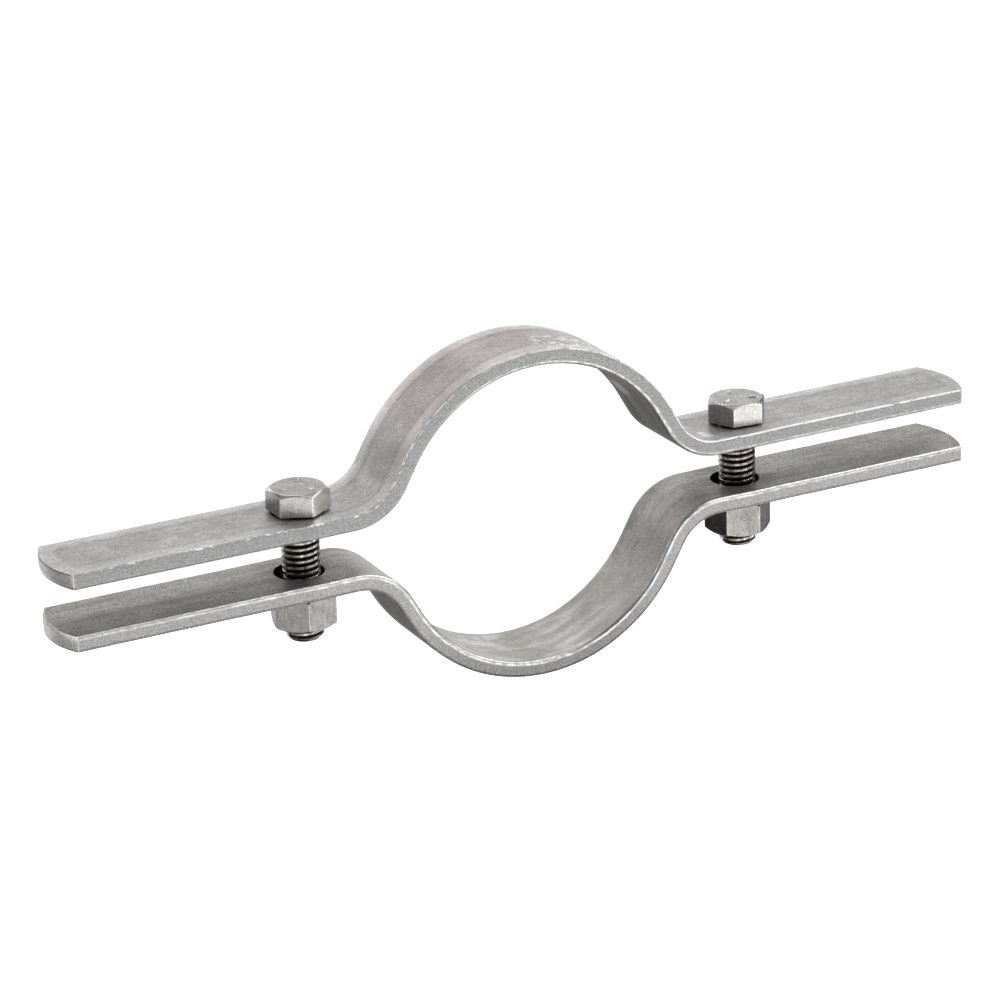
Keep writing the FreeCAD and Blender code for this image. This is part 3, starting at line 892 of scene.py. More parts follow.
@dataclass
class StrapHalf:
    """One half of the clamp: a flat bar, sheared, punched, and then formed round the pipe.

    Sizes are in millimetres. Points of the bar are (length, depth, across).
    """

    place: HalfPlace
    seed: float
    width: float = 25.4
    thickness: float = 4.76
    seat_radius: float = 44.45
    bend_radius: float = 14.0
    straight_run: float = 6.5
    ear_gap: float = 13.3
    bolt_setback: float = 12.35
    ear_reach: float = 74.9
    end_radius: float = 25.4
    end_pull: float = 16.0
    hole_radius: float = 7.15
    pipe_edge_radius: float = 0.8
    outer_edge_radius: float = 0.16
    end_edge_radius: float = 0.16
    end_roll_radius: float = 1.2
    corner_radius: float = 0.40
    hole_edge_radius: float = 0.24
    hole_bulge: float = 0.30
    bulge_reach: float = 6.0
    border_fall: float = 0.12
    border_width: float = 2.4
    end_relief: float = 0.12
    wave_depth: float = 0.045
    dimple_depth: float = 0.012
    edge_waver: float = 0.05
    tear_share: float = 0.42
    calm_round_hole: float = 10.0
    patch_half: float = 9.1
    patch_cells: int = 22
    formed_lines: int = 74
    margin_lines: int = 5
    ear_lines: int = 59
    depth_lines: int = 8
    hole_steps: int = 6
    edge_steps: Sequence[float] = (0.0, 0.07, 0.15, 0.24, 0.40, 0.60, 0.80, 1.0, 1.2)

    @property
    def turn(self) -> float:
        """How far the bar turns round the pipe from the top to the straight run, in radians."""
        outer = self.seat_radius + self.thickness + self.bend_radius
        rise = self.ear_gap / 2 + self.thickness + self.bend_radius
        reach = math.sqrt(outer ** 2 + self.straight_run ** 2 - rise ** 2)
        return math.pi / 2 - math.atan2(rise, reach) - math.atan2(self.straight_run, outer)

    @property
    def formed_length(self) -> float:
        """Length of the bar's middle line from the top, over seat, straight run and bend."""
        return self.straight_run + self.turn * (
            self.seat_radius + self.bend_radius + self.thickness)

    @property
    def hole_place(self) -> float:
        """Distance along the bar from its middle to a bolt hole."""
        return self.formed_length + self.bolt_setback

    @property
    def half_length(self) -> float:
        """Half of the bar's length before it is formed."""
        return self.hole_place + self.ear_reach

    def steel(self) -> StrapSteel:
        """Choose this half's finish: the two bars differ a little in colour.

        Returns:
            The finish.
        """
        known = (f"{self.place.value}_finish", self.hole_place, self.half_length,
                 self.width, self.thickness, self.hole_radius)
        if self.place is HalfPlace.HEAD_SIDE:
            return StrapSteel(
                # The head half's inner face is laid much darker: partly its brown colour, partly painted
                # shade inside the arch.
                *known, pipe_tint=(0.70, 0.68, 0.66), narrow=(0.475, 0.475, 0.473), scuff=1.0,
                burr_line=0.60, pipe_line=1.35, left_fade=0.85, streaks=1.5, glint=1.0)
        return StrapSteel(
            *known, pipe_tint=(0.93, 0.905, 0.875), narrow=(0.545, 0.54, 0.535),
            sheared_end=(0.68, 0.665, 0.64), narrow_middle=0.66, outer_line=0.42, chalk=0.38,
            smudge=0.8, dirt=0.55, coarse=1.0, rim_wear=0.0, corner_wear=0.40, streaks=0.5)

    def patch_levels(self, centre: float) -> np.ndarray:
        """Return the mesh's lines through the square patch round a hole."""
        return np.linspace(centre - self.patch_half, centre + self.patch_half, self.patch_cells + 1)

    def length_levels(self) -> np.ndarray:
        """Place the mesh's lines that cross the bar, from end to end.

        Returns:
            Their places along the bar.
        """
        patch = self.patch_levels(self.hole_place)
        end = self.half_length - np.array(self.edge_steps)[::-1]
        formed = np.linspace(0.0, self.formed_length, self.formed_lines)
        before = np.linspace(self.formed_length, patch[0], self.margin_lines)[1:-1]
        after = np.linspace(patch[-1], end[0], self.ear_lines)[1:-1]
        half = np.concatenate([formed, before, patch, after, end])
        return np.concatenate([-half[:0:-1], half])

    def width_levels(self) -> np.ndarray:
        """Place the mesh's lines that run along the wide faces.

        Returns:
            Their places across the bar.
        """
        patch = self.patch_levels(self.width / 2)
        margin = np.linspace(self.edge_steps[-1], patch[0], self.margin_lines)[1:-1]
        low = np.concatenate([self.edge_steps, margin])
        return np.concatenate([low, patch, (self.width - low)[::-1]])

    def depth_levels(self) -> np.ndarray:
        """Place the mesh's lines that run along the narrow faces.

        Returns:
            Their depths.
        """
        steps = np.array(self.edge_steps)
        between = np.linspace(steps[-1], self.thickness - steps[-1], self.depth_lines)[1:-1]
        return np.concatenate([steps, between, (self.thickness - steps)[::-1]])

    def blank(self) -> tuple[np.ndarray, list[list[int]]]:
        """Make the square-edged bar.

        Returns:
            Its points and its faces.
        """
        along, across, depth = self.length_levels(), self.width_levels(), self.depth_levels()
        cell_along = (along[:-1] + along[1:]) / 2
        cell_across = (across[:-1] + across[1:]) / 2 - self.width / 2
        near_hole = np.abs(np.abs(cell_along) - self.hole_place) < self.patch_half
        skip = np.outer(near_hole, np.abs(cell_across) < self.patch_half)
        rows, columns = along[:, None], across[None, :]
        facets = Facets()
        facets.grid(stacked(rows, self.thickness, columns), True, skip)
        facets.grid(stacked(rows, 0.0, columns), False, skip)
        facets.grid(stacked(rows, depth[None, :], self.width), False)
        facets.grid(stacked(rows, depth[None, :], 0.0), True)
        facets.grid(stacked(along[-1], depth[:, None], columns), False)
        facets.grid(stacked(along[0], depth[:, None], columns), True)
        for side in (-1, 1):
            self.punch(facets, side * self.hole_place, depth)
        return facets.welded()

    def punch(self, facets: Facets, centre: float, depth: np.ndarray) -> None:
        """Fill the square round one hole with rings, and line the hole.

        Args:
            facets: Where the faces go.
            centre: The hole's place along the bar.
            depth: The levels of the hole's wall.
        """
        side = self.patch_levels(0.0)[:-1] - 1j * self.patch_half
        square = np.concatenate([side * 1j ** quarter for quarter in range(4)])
        circle = np.exp(1j * np.angle(square))
        rings = [circle * (self.hole_radius + step) for step in self.edge_steps[:self.hole_steps]]
        start = rings[-1]
        rings += [start + (square - start) * share for share in (0.33, 0.66, 1.0)]
        loops = np.array([np.append(ring, ring[0]) for ring in rings])
        length, across = loops.real + centre, loops.imag + self.width / 2
        facets.grid(stacked(length, self.thickness, across), True)
        facets.grid(stacked(length, 0.0, across), False)
        facets.grid(stacked(length[0], depth[:, None], across[0]), True)

    def shaped(self, blank: np.ndarray) -> np.ndarray:
        """Roll the blank's edges, cut its ends round, and let its edges bulge beside the holes.

        Args:
            blank: Points of the square-edged bar.

        Returns:
            The same points, shaped, still flat.
        """
        length, depth, across = blank.T.copy()
        middle = self.width / 2
        on_pipe_side = depth < self.thickness / 2
        from_wide = np.where(on_pipe_side, depth, self.thickness - depth)
        from_side = np.minimum(across, self.width - across)
        from_end = self.half_length - np.abs(length)
        frayed = uneven(stacked(length, across, depth), 0.45, self.seed)
        outer_radius = np.clip(self.outer_edge_radius * (1.0 + 0.9 * frayed), 0.08, 0.34)
        near_rim = np.clip(1.0 - np.minimum(from_side, from_end) / self.border_width, 0.0, 1.0)
        fall = np.where(on_pipe_side, 0.0, self.border_fall * near_rim ** 2)
        long_radius = np.where(on_pipe_side, self.pipe_edge_radius, outer_radius)
        end_radius = np.where(on_pipe_side, self.end_roll_radius, self.end_edge_radius)
        hole_offset = np.hypot(np.abs(length) - self.hole_place, across - middle)
        from_hole = np.maximum(hole_offset - self.hole_radius, 0.0)
        from_hole[from_hole < 1e-6] = 0.0

        from_side, wide_a = rounded(from_side, from_wide, long_radius)
        from_end, wide_b = rounded(from_end, np.minimum(from_wide, wide_a), end_radius)
        from_wide = np.maximum(wide_a, wide_b)
        from_end, from_side = rounded(from_end, from_side, self.corner_radius)
        near_hole = hole_offset < self.hole_radius + 1.0
        rolled_hole, wide_c = rounded(from_hole, from_wide, self.hole_edge_radius)
        from_wide = np.where(near_hole, wide_c, from_wide)
        scale = 1.0 + (rolled_hole - from_hole) / np.maximum(hole_offset, 1e-6)
        reach = np.where(near_hole, self.hole_place + (np.abs(length) - self.hole_place) * scale,
                         self.half_length - from_end)
        across = np.where(near_hole, middle + (across - middle) * scale,
                          np.where(across > middle, self.width - from_side, from_side))
        depth = np.where(on_pipe_side, from_wide, self.thickness - from_wide)
        depth = depth - fall * depth / self.thickness

        off_middle = across - middle
        sagitta = self.end_radius - np.sqrt(self.end_radius ** 2 - off_middle ** 2)
        start = self.half_length - self.end_pull
        pulled = start + (reach - start) * (self.end_pull - sagitta) / self.end_pull
        reach = np.where(reach > start, pulled, reach)

        beside = np.exp(-((reach - self.hole_place) / self.bulge_reach) ** 2)
        off_share = (np.abs(off_middle) - self.bulge_reach) / (middle - self.bulge_reach)
        bulge = self.hole_bulge * beside * np.clip(off_share, 0.0, 1.0) ** 1.5
        return stacked(np.sign(length) * reach, depth, across + np.sign(off_middle) * bulge)

    def dented(self, square: np.ndarray, flat: np.ndarray) -> np.ndarray:
        """Give the flat bar the slight unevenness of rolled, sheared and pickled steel.

        Args:
            square: Points of the square-edged bar.
            flat: The same points of the shaped bar.

        Returns:
            The shaped points with their faces a few hundredths of a millimetre uneven, and the
            sheared ends torn a little deeper on the side where the shear came through.
        """
        length, depth, across = flat.T.copy()
        on_end = np.abs(square[:, 0]) > self.half_length - 1e-6
        inside = np.clip(np.minimum(square[:, 1], self.thickness - square[:, 1]) / 0.5, 0.0, 1.0)
        torn = np.clip((self.tear_share * self.thickness - square[:, 1]) / 0.5, 0.0, 1.0)
        rough = 0.5 + 0.5 * uneven(flat * (1.0, 1.4, 1.0), 0.9, self.seed + 6.0)
        length -= np.sign(length) * on_end * inside * rough * self.end_relief * (0.25 + torn)
        off_hole = np.abs(np.abs(length) - self.hole_place)
        away = np.clip((off_hole - self.calm_round_hole) / 6.0, 0.0, 1.0)
        waves = uneven(flat, 0.07, self.seed + 3.0)
        dimples = uneven(flat, 0.35, self.seed + 5.0)
        sink = np.clip(self.wave_depth * waves + self.dimple_depth * dimples, -0.05, 0.0) * away
        depth += sink * (2.0 * depth / self.thickness - 1.0)
        edge_share = np.clip(1.0 - np.minimum(across, self.width - across) / 3.0, 0.0, 1.0)
        sideways = uneven(stacked(length, across * 0.2, depth * 0.2), 0.10, self.seed + 8.0)
        waver = self.edge_waver * edge_share * (sideways - 0.8)
        return stacked(length, depth, across + np.sign(across - self.width / 2) * waver)

    def build(self, forming: GeometryTree) -> bpy.types.Object:
        """Make this half and let it ride on its body.

        Args:
            forming: The tree that forms the flat bar round the pipe.

        Returns:
            The finished piece.
        """
        name = f"{self.place.value}_strap"
        square, faces = self.blank()
        flat = self.dented(square, self.shaped(square))
        blank = mesh_of(f"{self.place.value}_blank", flat, faces, {BAR_ATTRIBUTE: square * MM})
        sizes = {
            "Seat Radius": self.seat_radius, "Bar Thickness": self.thickness,
            "Bend Radius": self.bend_radius, "Straight Run": self.straight_run}
        swing = 0.0 if self.place is HalfPlace.HEAD_SIDE else math.pi
        values = {"Turn": self.turn, "Swing": swing}
        formed = forming.run(blank, name, self.steel().build(), sizes, values)
        return attach(new_piece(name, formed), f"{self.place.value}_half")


def forming_tree() -> GeometryTree:
    """Make the tree that bends a flat bar along seat, straight run, reverse bend and ear.

    The bar lies along X with its depth on Y. Each point goes to its place beside the bent middle
    line, which is worked out from how much of each stretch lies before it.

    Returns:
        The tree.
    """
    tree = GeometryTree("form_bar_round_pipe", {"Float": (
        "Seat Radius", "Bar Thickness", "Bend Radius", "Straight Run", "Turn", "Swing")})
    graph, given = tree.graph, tree.given
    length, depth, across = graph.split(graph.node("GeometryNodeInputPosition"))
    side = length.apply("SIGN")
    reach = length.apply("ABSOLUTE")
    half_bar = given["Bar Thickness"] * 0.5
    seat = given["Seat Radius"] + half_bar
    bend = given["Bend Radius"] + half_bar
    run, turn = given["Straight Run"], given["Turn"]
    past_seat = reach - seat * turn
    on_run = past_seat.high(0.0).low(run)
    on_bend = (past_seat - run).high(0.0).low(bend * turn)
    on_ear = (past_seat - run - bend * turn).high(0.0)
    seat_angle = reach.low(seat * turn) / seat
    left_to_turn = turn - on_bend / bend
    dip = seat_angle - on_bend / bend
    sine, cosine = turn.apply("SINE"), turn.apply("COSINE")
    x = (seat * seat_angle.apply("SINE") + on_run * cosine
         + bend * (sine - left_to_turn.apply("SINE")) + on_ear)
    y = (seat * seat_angle.apply("COSINE") - on_run * sine
         - bend * (left_to_turn.apply("COSINE") - cosine))
    off = depth - half_bar
    formed = graph.join(side * (x + off * dip.apply("SINE")), y + off * dip.apply("COSINE"), across)
    moved = graph.node("GeometryNodeSetPosition", None, {
        "Geometry": given["Geometry"], "Position": formed})
    swung = graph.node("GeometryNodeTransform", None, {
        "Geometry": moved, "Rotation": graph.join(0.0, 0.0, given["Swing"])})
    return tree.close(swung)


def thread_tree() -> GeometryTree:
    """Make the tree that makes a right-hand screw thread, closed at both ends.

    A grid is rolled into a rod. Its rows climb one pitch a turn, so that they follow the crests and
    the grooves, and the points past either end gather on that end.

    Returns:
        The tree.
    """
    tree = GeometryTree("roll_screw_thread", {
        "Float": ("Crest Radius", "Root Radius", "Pitch", "Lower End", "Upper End",
                  "Lower End Radius", "Upper End Radius", "Start Angle", "Crest Wear", "Seed"),
        "Int": ("Rows a Turn", "Columns")})
    graph, given = tree.graph, tree.given
    pitch, per_turn, columns = given["Pitch"], given["Rows a Turn"], given["Columns"]
    low, high = given["Lower End"], given["Upper End"]
    rows = (((high - low) / pitch).apply("CEIL") + 3.0) * per_turn
    sheet = graph.node("GeometryNodeMeshGrid", None, {
        "Size X": columns * 1.0, "Size Y": rows, "Vertices X": columns + 1.0, "Vertices Y": rows + 1.0})
    grid_x, grid_y, _ = graph.split(graph.node("GeometryNodeInputPosition"))
    column = (grid_x + columns * 0.5 + 0.25).apply("FLOOR")
    row = (grid_y + rows * 0.5 + 0.25).apply("FLOOR")
    phase = (row / per_turn).apply("FRACT")
    crest_share = 1.0 - 2.0 * (phase - 0.5).apply("ABSOLUTE")
    root_share, flank_share = 0.16, 0.46
    lift = ((crest_share - root_share) / flank_share).high(0.0).low(1.0)
    y = (low + pitch * (row / per_turn + column / columns - 2.0)).high(low).low(high)
    angle = column / columns * math.tau + given["Start Angle"]
    sine, cosine = angle.apply("SINE"), angle.apply("COSINE")
    wear_along = 300.0
    around = graph.join(sine + given["Seed"], y * wear_along, cosine)
    wear = given["Crest Wear"] * lift * graph.cloud(around, 2.5, 2.0, 0.5)
    full = given["Root Radius"] + (given["Crest Radius"] - given["Root Radius"]) * lift - wear
    radius = full.low(given["Lower End Radius"] + (y - low))
    radius = radius.low(given["Upper End Radius"] + (high - y))
    full_cut = 0.08 * MM
    turned = ((full - radius) / full_cut).low(1.0)
    past_end = graph.math("LESS_THAN", row, 0.5) + graph.math("GREATER_THAN", row, rows - 0.5)
    radius = radius * (1.0 - past_end)
    groove = (1.0 - lift) * (1.0 - turned) + 0.12 * turned + 0.06
    marked = graph.node("GeometryNodeStoreNamedAttribute", {"data_type": "FLOAT", "domain": "POINT"}, {
        "Geometry": sheet, "Name": GROOVE_ATTRIBUTE, "Value": groove})
    rolled = graph.node("GeometryNodeSetPosition", None, {
        "Geometry": marked, "Position": graph.join(radius * sine, y, radius * cosine)})
    sewn = graph.node("GeometryNodeMergeByDistance", None, {"Geometry": rolled, "Distance": 2e-6})
    smooth = graph.node("GeometryNodeSetShadeSmooth", None, {"Geometry": sewn, "Shade Smooth": True})
    return tree.close(smooth)


@dataclass
class HexForm:
    """A hexagonal block with turned corners, standing on Y. Sizes are in millimetres."""

    flats: float
    height: float
    corner_radius: float
    crown_inset: float = 0.35
    low_angle: float = 30.0
    top_angle: float = 30.0
    both_ends: bool = False
    washer_face: float = 0.0
    wear: float = 1.0
    # How much lighter (plus) or darker (minus) each facet is painted, standing in for how light falls on
    # it.
    tones: Sequence[float] = (0.0,) * 6
    corner_steps: Sequence[float] = (0.0, 0.5, 1.0, 1.5, 2.1, 3.2, 5.5)
    flat_columns: int = 10

    def angles(self) -> np.ndarray:
        """Place the block's columns, close together at its corners.

        Returns:
            The columns' angles from a corner, in radians.
        """
        steps = np.array(self.corner_steps)
        across = np.linspace(steps[-1], 60.0 - steps[-1], self.flat_columns + 2)[1:-1]
        sextant = np.concatenate([steps, across, (60.0 - steps)[:0:-1]])
        return np.radians(np.concatenate([sextant + 60.0 * turn for turn in range(6)]))

    def off_corner(self, angle: np.ndarray) -> np.ndarray:
        """Return each angle's distance from the nearest corner, in radians."""
        return np.abs((angle + math.pi / 6) % (math.pi / 3) - math.pi / 6)

    def reach(self, angle: np.ndarray) -> np.ndarray:
        """Work out how far the rounded hexagon reaches.

        Args:
            angle: Angles from a corner, in radians.

        Returns:
            The distance from the axis at each angle.
        """
        off = self.off_corner(angle)
        half, radius, sextant = self.flats / 2, self.corner_radius, math.pi / 6
        plain = half / np.cos(sextant - off)
        arc_centre = (half - radius) / math.cos(sextant)
        touch = math.atan2(radius * math.sin(sextant), arc_centre + radius * math.cos(sextant))
        across = np.maximum(radius ** 2 - (arc_centre * np.sin(off)) ** 2, 0.0)
        return np.where(off < touch, arc_centre * np.cos(off) + np.sqrt(across), plain)

    def crown(self, hexagon: np.ndarray, level: float, sign: float) -> list[tuple]:
        """Work out a turned end's rings.

        Args:
            hexagon: How far the hexagon reaches in each column.
            level: The end's height.
            sign: 1 for the upper end, -1 for the lower one.

        Returns:
            Radius, height and wear of each ring, from the hexagon to the middle.
        """
        slope = math.tan(math.radians(self.top_angle if sign > 0 else self.low_angle))
        flat = self.flats / 2 - self.crown_inset
        drop = (hexagon - flat) * slope
        profile = (
            (hexagon, drop + 0.30, 0.0), (hexagon, drop + 0.14, 0.5),
            (hexagon - 0.02, drop + 0.05, 1.0), (hexagon - 0.08, drop - 0.02, 1.0),
            (hexagon - 0.22, drop - 0.22 * slope, 0.45), ((hexagon + flat) / 2, drop / 2, 0.35),
            (flat + 0.16, 0.16 * slope, 0.5), (flat + 0.05, 0.035, 0.8), (flat - 0.06, 0.0, 0.6),
            (flat - 0.25, 0.0, 0.0), (flat * 0.66, 0.0, 0.0), (flat * 0.33, 0.0, 0.0), (0.0, 0.0, 0.0))
        return [(radius, level - sign * sunk, wear) for radius, sunk, wear in profile]

    def rings(self, hexagon: np.ndarray) -> np.ndarray:
        """Work out the block's rings, from its low end's middle to its high end's.

        Args:
            hexagon: How far the hexagon reaches in each column.

        Returns:
            Each ring's columns, with radius, height and how far wear and painted highlight have
            brightened them.
        """
        top = self.crown(hexagon, self.height, 1.0)
        if self.both_ends:
            bottom = self.crown(hexagon, 0.0, -1.0)[::-1]
        else:
            face = self.flats / 2 * 0.93
            step = self.washer_face
            bottom = [
                (0.0, 0.0, 0.0), (face * 0.7, 0.0, 0.0), (face - 0.08, 0.0, 0.0), (face, 0.08, 0.0),
                (face, step - 0.04, 0.0), (face + 0.06, step, 0.0), (hexagon - 0.12, step, 0.0),
                (hexagon - 0.03, step + 0.03, 0.3), (hexagon, step + 0.12, 0.3),
                (hexagon, step + 0.30, 0.0)]
        low, high = bottom[-1][1], top[0][1]
        middle = [(hexagon, low + (high - low) * share, 0.0) for share in (0.25, 0.5, 0.75)]
        return np.array([stacked(*ring, hexagon)[:, :3] for ring in bottom + middle + top])

    def mesh(self, name: str, corner_turn: float, seed: float, level: float,
             steel: bpy.types.Material) -> bpy.types.Mesh:
        """Make the block.

        Args:
            name: The mesh's name.
            corner_turn: A corner's angle from +X towards +Z, in degrees.
            seed: Picks the block's slight unevenness.
            level: Where the low end is put on Y.
            steel: The finish.

        Returns:
            A closed mesh in metres, round the Y axis.
        """
        angle = self.angles()
        hexagon = self.reach(angle)
        radius, height, wear = np.moveaxis(self.rings(hexagon), -1, 0)
        turned = angle + math.radians(corner_turn)
        near_corner = np.exp(-(self.off_corner(angle) / math.radians(1.6)) ** 2)
        # Painted light and shade: each facet is laid lighter or darker where the light falls on it or
        # misses it.
        tone = np.array(self.tones)[(angle // (math.pi / 3)).astype(int)]
        # Corners and crown edges are laid bright: partly wear, partly painted highlight.
        worn = self.wear * np.maximum(wear, near_corner * (radius > self.flats / 2 * 1.02))
        worn = worn + tone * (radius >= hexagon - 0.03)
        # Painted shade: the head's washer face and underside, and the nut's face against the strap, are
        # marked to be laid near black as contact shadow.
        if self.both_ends:
            oily = (radius < hexagon - 0.13) & (height > self.height / 2)
        else:
            oily = height < self.washer_face + 0.01
        sheet = stacked(radius * np.cos(turned), height, radius * np.sin(turned), worn, oily)
        marked, faces = Facets().grid(np.concatenate([sheet, sheet[:, :1]], axis=1)).welded()
        dent = np.clip(uneven(marked[:, :3], 0.4, seed) + 0.2, 0.0, 1.0)
        marked[:, [0, 2]] *= 1.0 - 0.003 * dent[:, None]
        mesh = fastener_mesh(name, marked, faces, steel)
        mesh.transform(Matrix.Translation((0.0, level * MM, 0.0)))
        return mesh


def combined(name: str, first: bpy.types.Mesh, second: bpy.types.Mesh, operation: str) -> bpy.types.Mesh:
    """Join two closed meshes, or cut one out of the other.

    Args:
        name: The result's name.
        first: The mesh that stays.
        second: The mesh that is added or taken away.
        operation: UNION or DIFFERENCE.

    Returns:
        The result as a plain mesh.
    """
    keeper = new_piece(f"{name}_keeper", first)
    tool = new_piece(f"{name}_tool", second)
    cut = keeper.modifiers.new("cut", "BOOLEAN")
    cut.operation = operation
    cut.solver = "MANIFOLD"
    cut.object = tool
    made = baked(keeper, cut, name)
    bpy.data.objects.remove(tool)
    return made


@dataclass
class ScrewThread:
    """The 14 to the inch thread that bolts and nuts share. Sizes are in millimetres."""

    tree: GeometryTree
    crest_radius: float = 5.45
    nut_room: float = 0.03
    nut_groove: float = 0.48
    pitch: float = 25.4 / 14
    columns: int = 72
    rows_a_turn: int = 16

    def rod(self, name: str, steel: bpy.types.Material, ends: tuple[float, float],
            end_radii: tuple[float, float], start_angle: float, wear: float = 0.0,
            seed: float = 0.0, inside: bool = False) -> bpy.types.Mesh:
        """Make a threaded rod.

        Args:
            name: The mesh's name.
            steel: The finish.
            ends: The rod's lower and upper end on Y.
            end_radii: Its radii at those ends, from which cones of 45 degrees widen.
            start_angle: Where the thread starts, in radians.
            wear: The most that wear takes off the crests.
            seed: Picks the pattern of the wear.
            inside: Whether this is the plug that leaves a nut's thread when it is taken away.

        Returns:
            A closed mesh in metres, on the Y axis.
        """
        crest, root = self.crest_radius, self.crest_radius - 0.6134 * self.pitch
        if inside:
            root = self.crest_radius + self.nut_room
            crest = root + self.nut_groove
        sizes = {
            "Crest Radius": crest, "Root Radius": root, "Pitch": self.pitch,
            "Lower End": ends[0], "Upper End": ends[1],
            "Lower End Radius": end_radii[0], "Upper End Radius": end_radii[1], "Crest Wear": wear}
        values = {
            "Rows a Turn": self.rows_a_turn, "Columns": self.columns,
            "Start Angle": start_angle, "Seed": seed}
        carrier = bpy.data.meshes.new(f"{name}_carrier")
        return self.tree.run(carrier, name, steel, sizes, values)


@dataclass
class BoltSet:
    """A hex bolt and its nut, on one bolt line. Sizes are in millimetres."""

    side: BoltSide
    thread: ScrewThread
    steel: bpy.types.Material
    head_turn: float
    nut_turn: float
    start_angle: float
    seed: float
    # How bright the nut's edges are laid: partly wear, partly painted highlight.
    nut_wear: float
    head_tones: Sequence[float]
    nut_tones: Sequence[float]
    seat_level: float = 11.41
    tip_level: float = -26.63
    tip_chamfer: float = 1.2
    head_flats: float = 15.9
    head_height: float = 7.1
    nut_flats: float = 17.3
    nut_height: float = 11.0
    line_z: float = 12.7
    head_corner: float = 0.25
    nut_corner: float = 0.35
    nut_top_angle: float = 48.0
    washer_face: float = 0.62
    thread_wear: float = 0.05
    hidden_radius: float = 4.0
    hidden_length: float = 2.5
    plug_radius: float = 4.3
    plug_overlap: float = 2.0
    sink_depth: float = 1.4
    sink_overlap: float = 0.5
    dash_place: float = 4.7
    dash_width: float = 0.36

    def placed(self, mesh: bpy.types.Mesh) -> bpy.types.Mesh:
        """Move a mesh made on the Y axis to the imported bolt's line.

        Args:
            mesh: The mesh.

        Returns:
            The same mesh.
        """
        low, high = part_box(f"{self.side.value}_bolt")
        mesh.transform(Matrix.Translation(((low.x + high.x) / 2, 0.0, self.line_z * MM)))
        return mesh

    def countersink(self, level: float, sign: float) -> bpy.types.Mesh:
        """Make the cone that opens one mouth of the nut's thread.

        Args:
            level: The nut's face on Y.
            sign: 1 for the face towards the head, -1 for the other.

        Returns:
            A closed mesh in metres, on the Y axis.
        """
        mouth = self.thread.crest_radius + self.thread.nut_room + self.thread.nut_groove + 0.05
        deep, over = self.sink_depth, self.sink_overlap
        profile = ((0.0, -deep), (mouth - deep, -deep), (mouth + over, over), (0.0, over))
        radius, height = np.array(profile).T[..., None]
        around = np.linspace(0.0, math.tau, 73)
        rings = stacked(radius * np.cos(around), level + sign * height, radius * np.sin(around), 0.0, 0.0)
        return fastener_mesh("countersink", *Facets().grid(rings, sign < 0).welded(), self.steel)

    def dash(self, angle: float) -> bpy.types.Mesh:
        """Make one raised dash of the strength grade, on the head's top.

        Args:
            angle: The dash's direction from the head's middle, in radians.

        Returns:
            A closed mesh in metres, in the bolt's own place on the Y axis.
        """
        profile = ((-0.4, 0.0), (-0.4, 1.0), (0.0, 1.0), (0.14, 0.93), (0.22, 0.7), (0.22, 0.0))
        height, size = np.array(profile).T[..., None]
        around = np.linspace(0.0, math.tau, 17)
        straight = np.sign(np.cos(around)) * np.minimum(size * 2.0, 1.0)
        # The dash is marked 0.6 on the wear attribute, which lays it bright: partly wear, partly painted
        # highlight.
        rings = stacked(self.dash_place + self.dash_width * size * np.cos(around) + straight,
                        self.seat_level + self.head_height + height,
                        self.dash_width * size * np.sin(around), 0.6, 0.0)
        mesh = fastener_mesh("dash", *Facets().grid(rings).welded(), self.steel)
        mesh.transform(Matrix.Rotation(-angle, 4, "Y"))
        return mesh

    def build_bolt(self) -> bpy.types.Object:
        """Make the bolt: its head with a washer face, and its threaded shank.

        Returns:
            The finished piece.
        """
        name = f"{self.side.value}_hex_bolt"
        shank = self.thread.rod(
            f"{name}_shank", self.steel, (self.tip_level, self.seat_level + self.hidden_length),
            (self.thread.crest_radius - self.tip_chamfer, self.hidden_radius), self.start_angle,
            self.thread_wear, self.seed)
        form = HexForm(self.head_flats, self.head_height, self.head_corner,
                       washer_face=self.washer_face, tones=self.head_tones)
        head = form.mesh(f"{name}_head", self.head_turn, self.seed, self.seat_level, self.steel)
        whole = combined(name, head, shank, "UNION")
        for count in range(3):
            mark = self.dash(math.radians(self.head_turn + 30.0 + 120.0 * count))
            whole = combined(name, whole, mark, "UNION")
        return attach(new_piece(name, self.placed(whole)), f"{self.side.value}_bolt")

    def build_nut(self) -> bpy.types.Object:
        """Make the nut, its thread cut just outside the bolt's crests so that either turns freely.

        Returns:
            The finished piece.
        """
        name = f"{self.side.value}_hex_nut"
        low, high = -self.seat_level - self.nut_height, -self.seat_level
        form = HexForm(self.nut_flats, self.nut_height, self.nut_corner, both_ends=True,
                       top_angle=self.nut_top_angle, wear=self.nut_wear, tones=self.nut_tones)
        bored = form.mesh(f"{name}_block", self.nut_turn, self.seed + 2.0, low, self.steel)
        plug = self.thread.rod(
            f"{name}_plug", self.steel, (low - self.plug_overlap, high + self.plug_overlap),
            (self.plug_radius, self.plug_radius), self.start_angle, inside=True)
        for tool in (plug, self.countersink(high, 1.0), self.countersink(low, -1.0)):
            bored = combined(name, bored, tool, "DIFFERENCE")
        return attach(new_piece(name, self.placed(bored)), f"{self.side.value}_nut")


@dataclass(frozen=True)
class SoftBox:
    """A square area light that faces the clamp."""

    name: str
    direction: Triple
    power: float
    size: float = 0.6
    distance: float = 1.2

    def build(self, target: Vector) -> bpy.types.Object:
        """Hang the light.

        Args:
            target: The point that it faces.

        Returns:
            The light.
        """
        data = bpy.data.lights.new(self.name, "AREA")
        data.size = self.size
        data.energy = self.power
        lamp = bpy.data.objects.new(self.name, data)
        away = Vector(self.direction).normalized()
        lamp.location = target + away * self.distance
        lamp.rotation_mode = "QUATERNION"
        lamp.rotation_quaternion = away.to_track_quat("Z", "Y")
        bpy.context.scene.collection.objects.link(lamp)
        return lamp


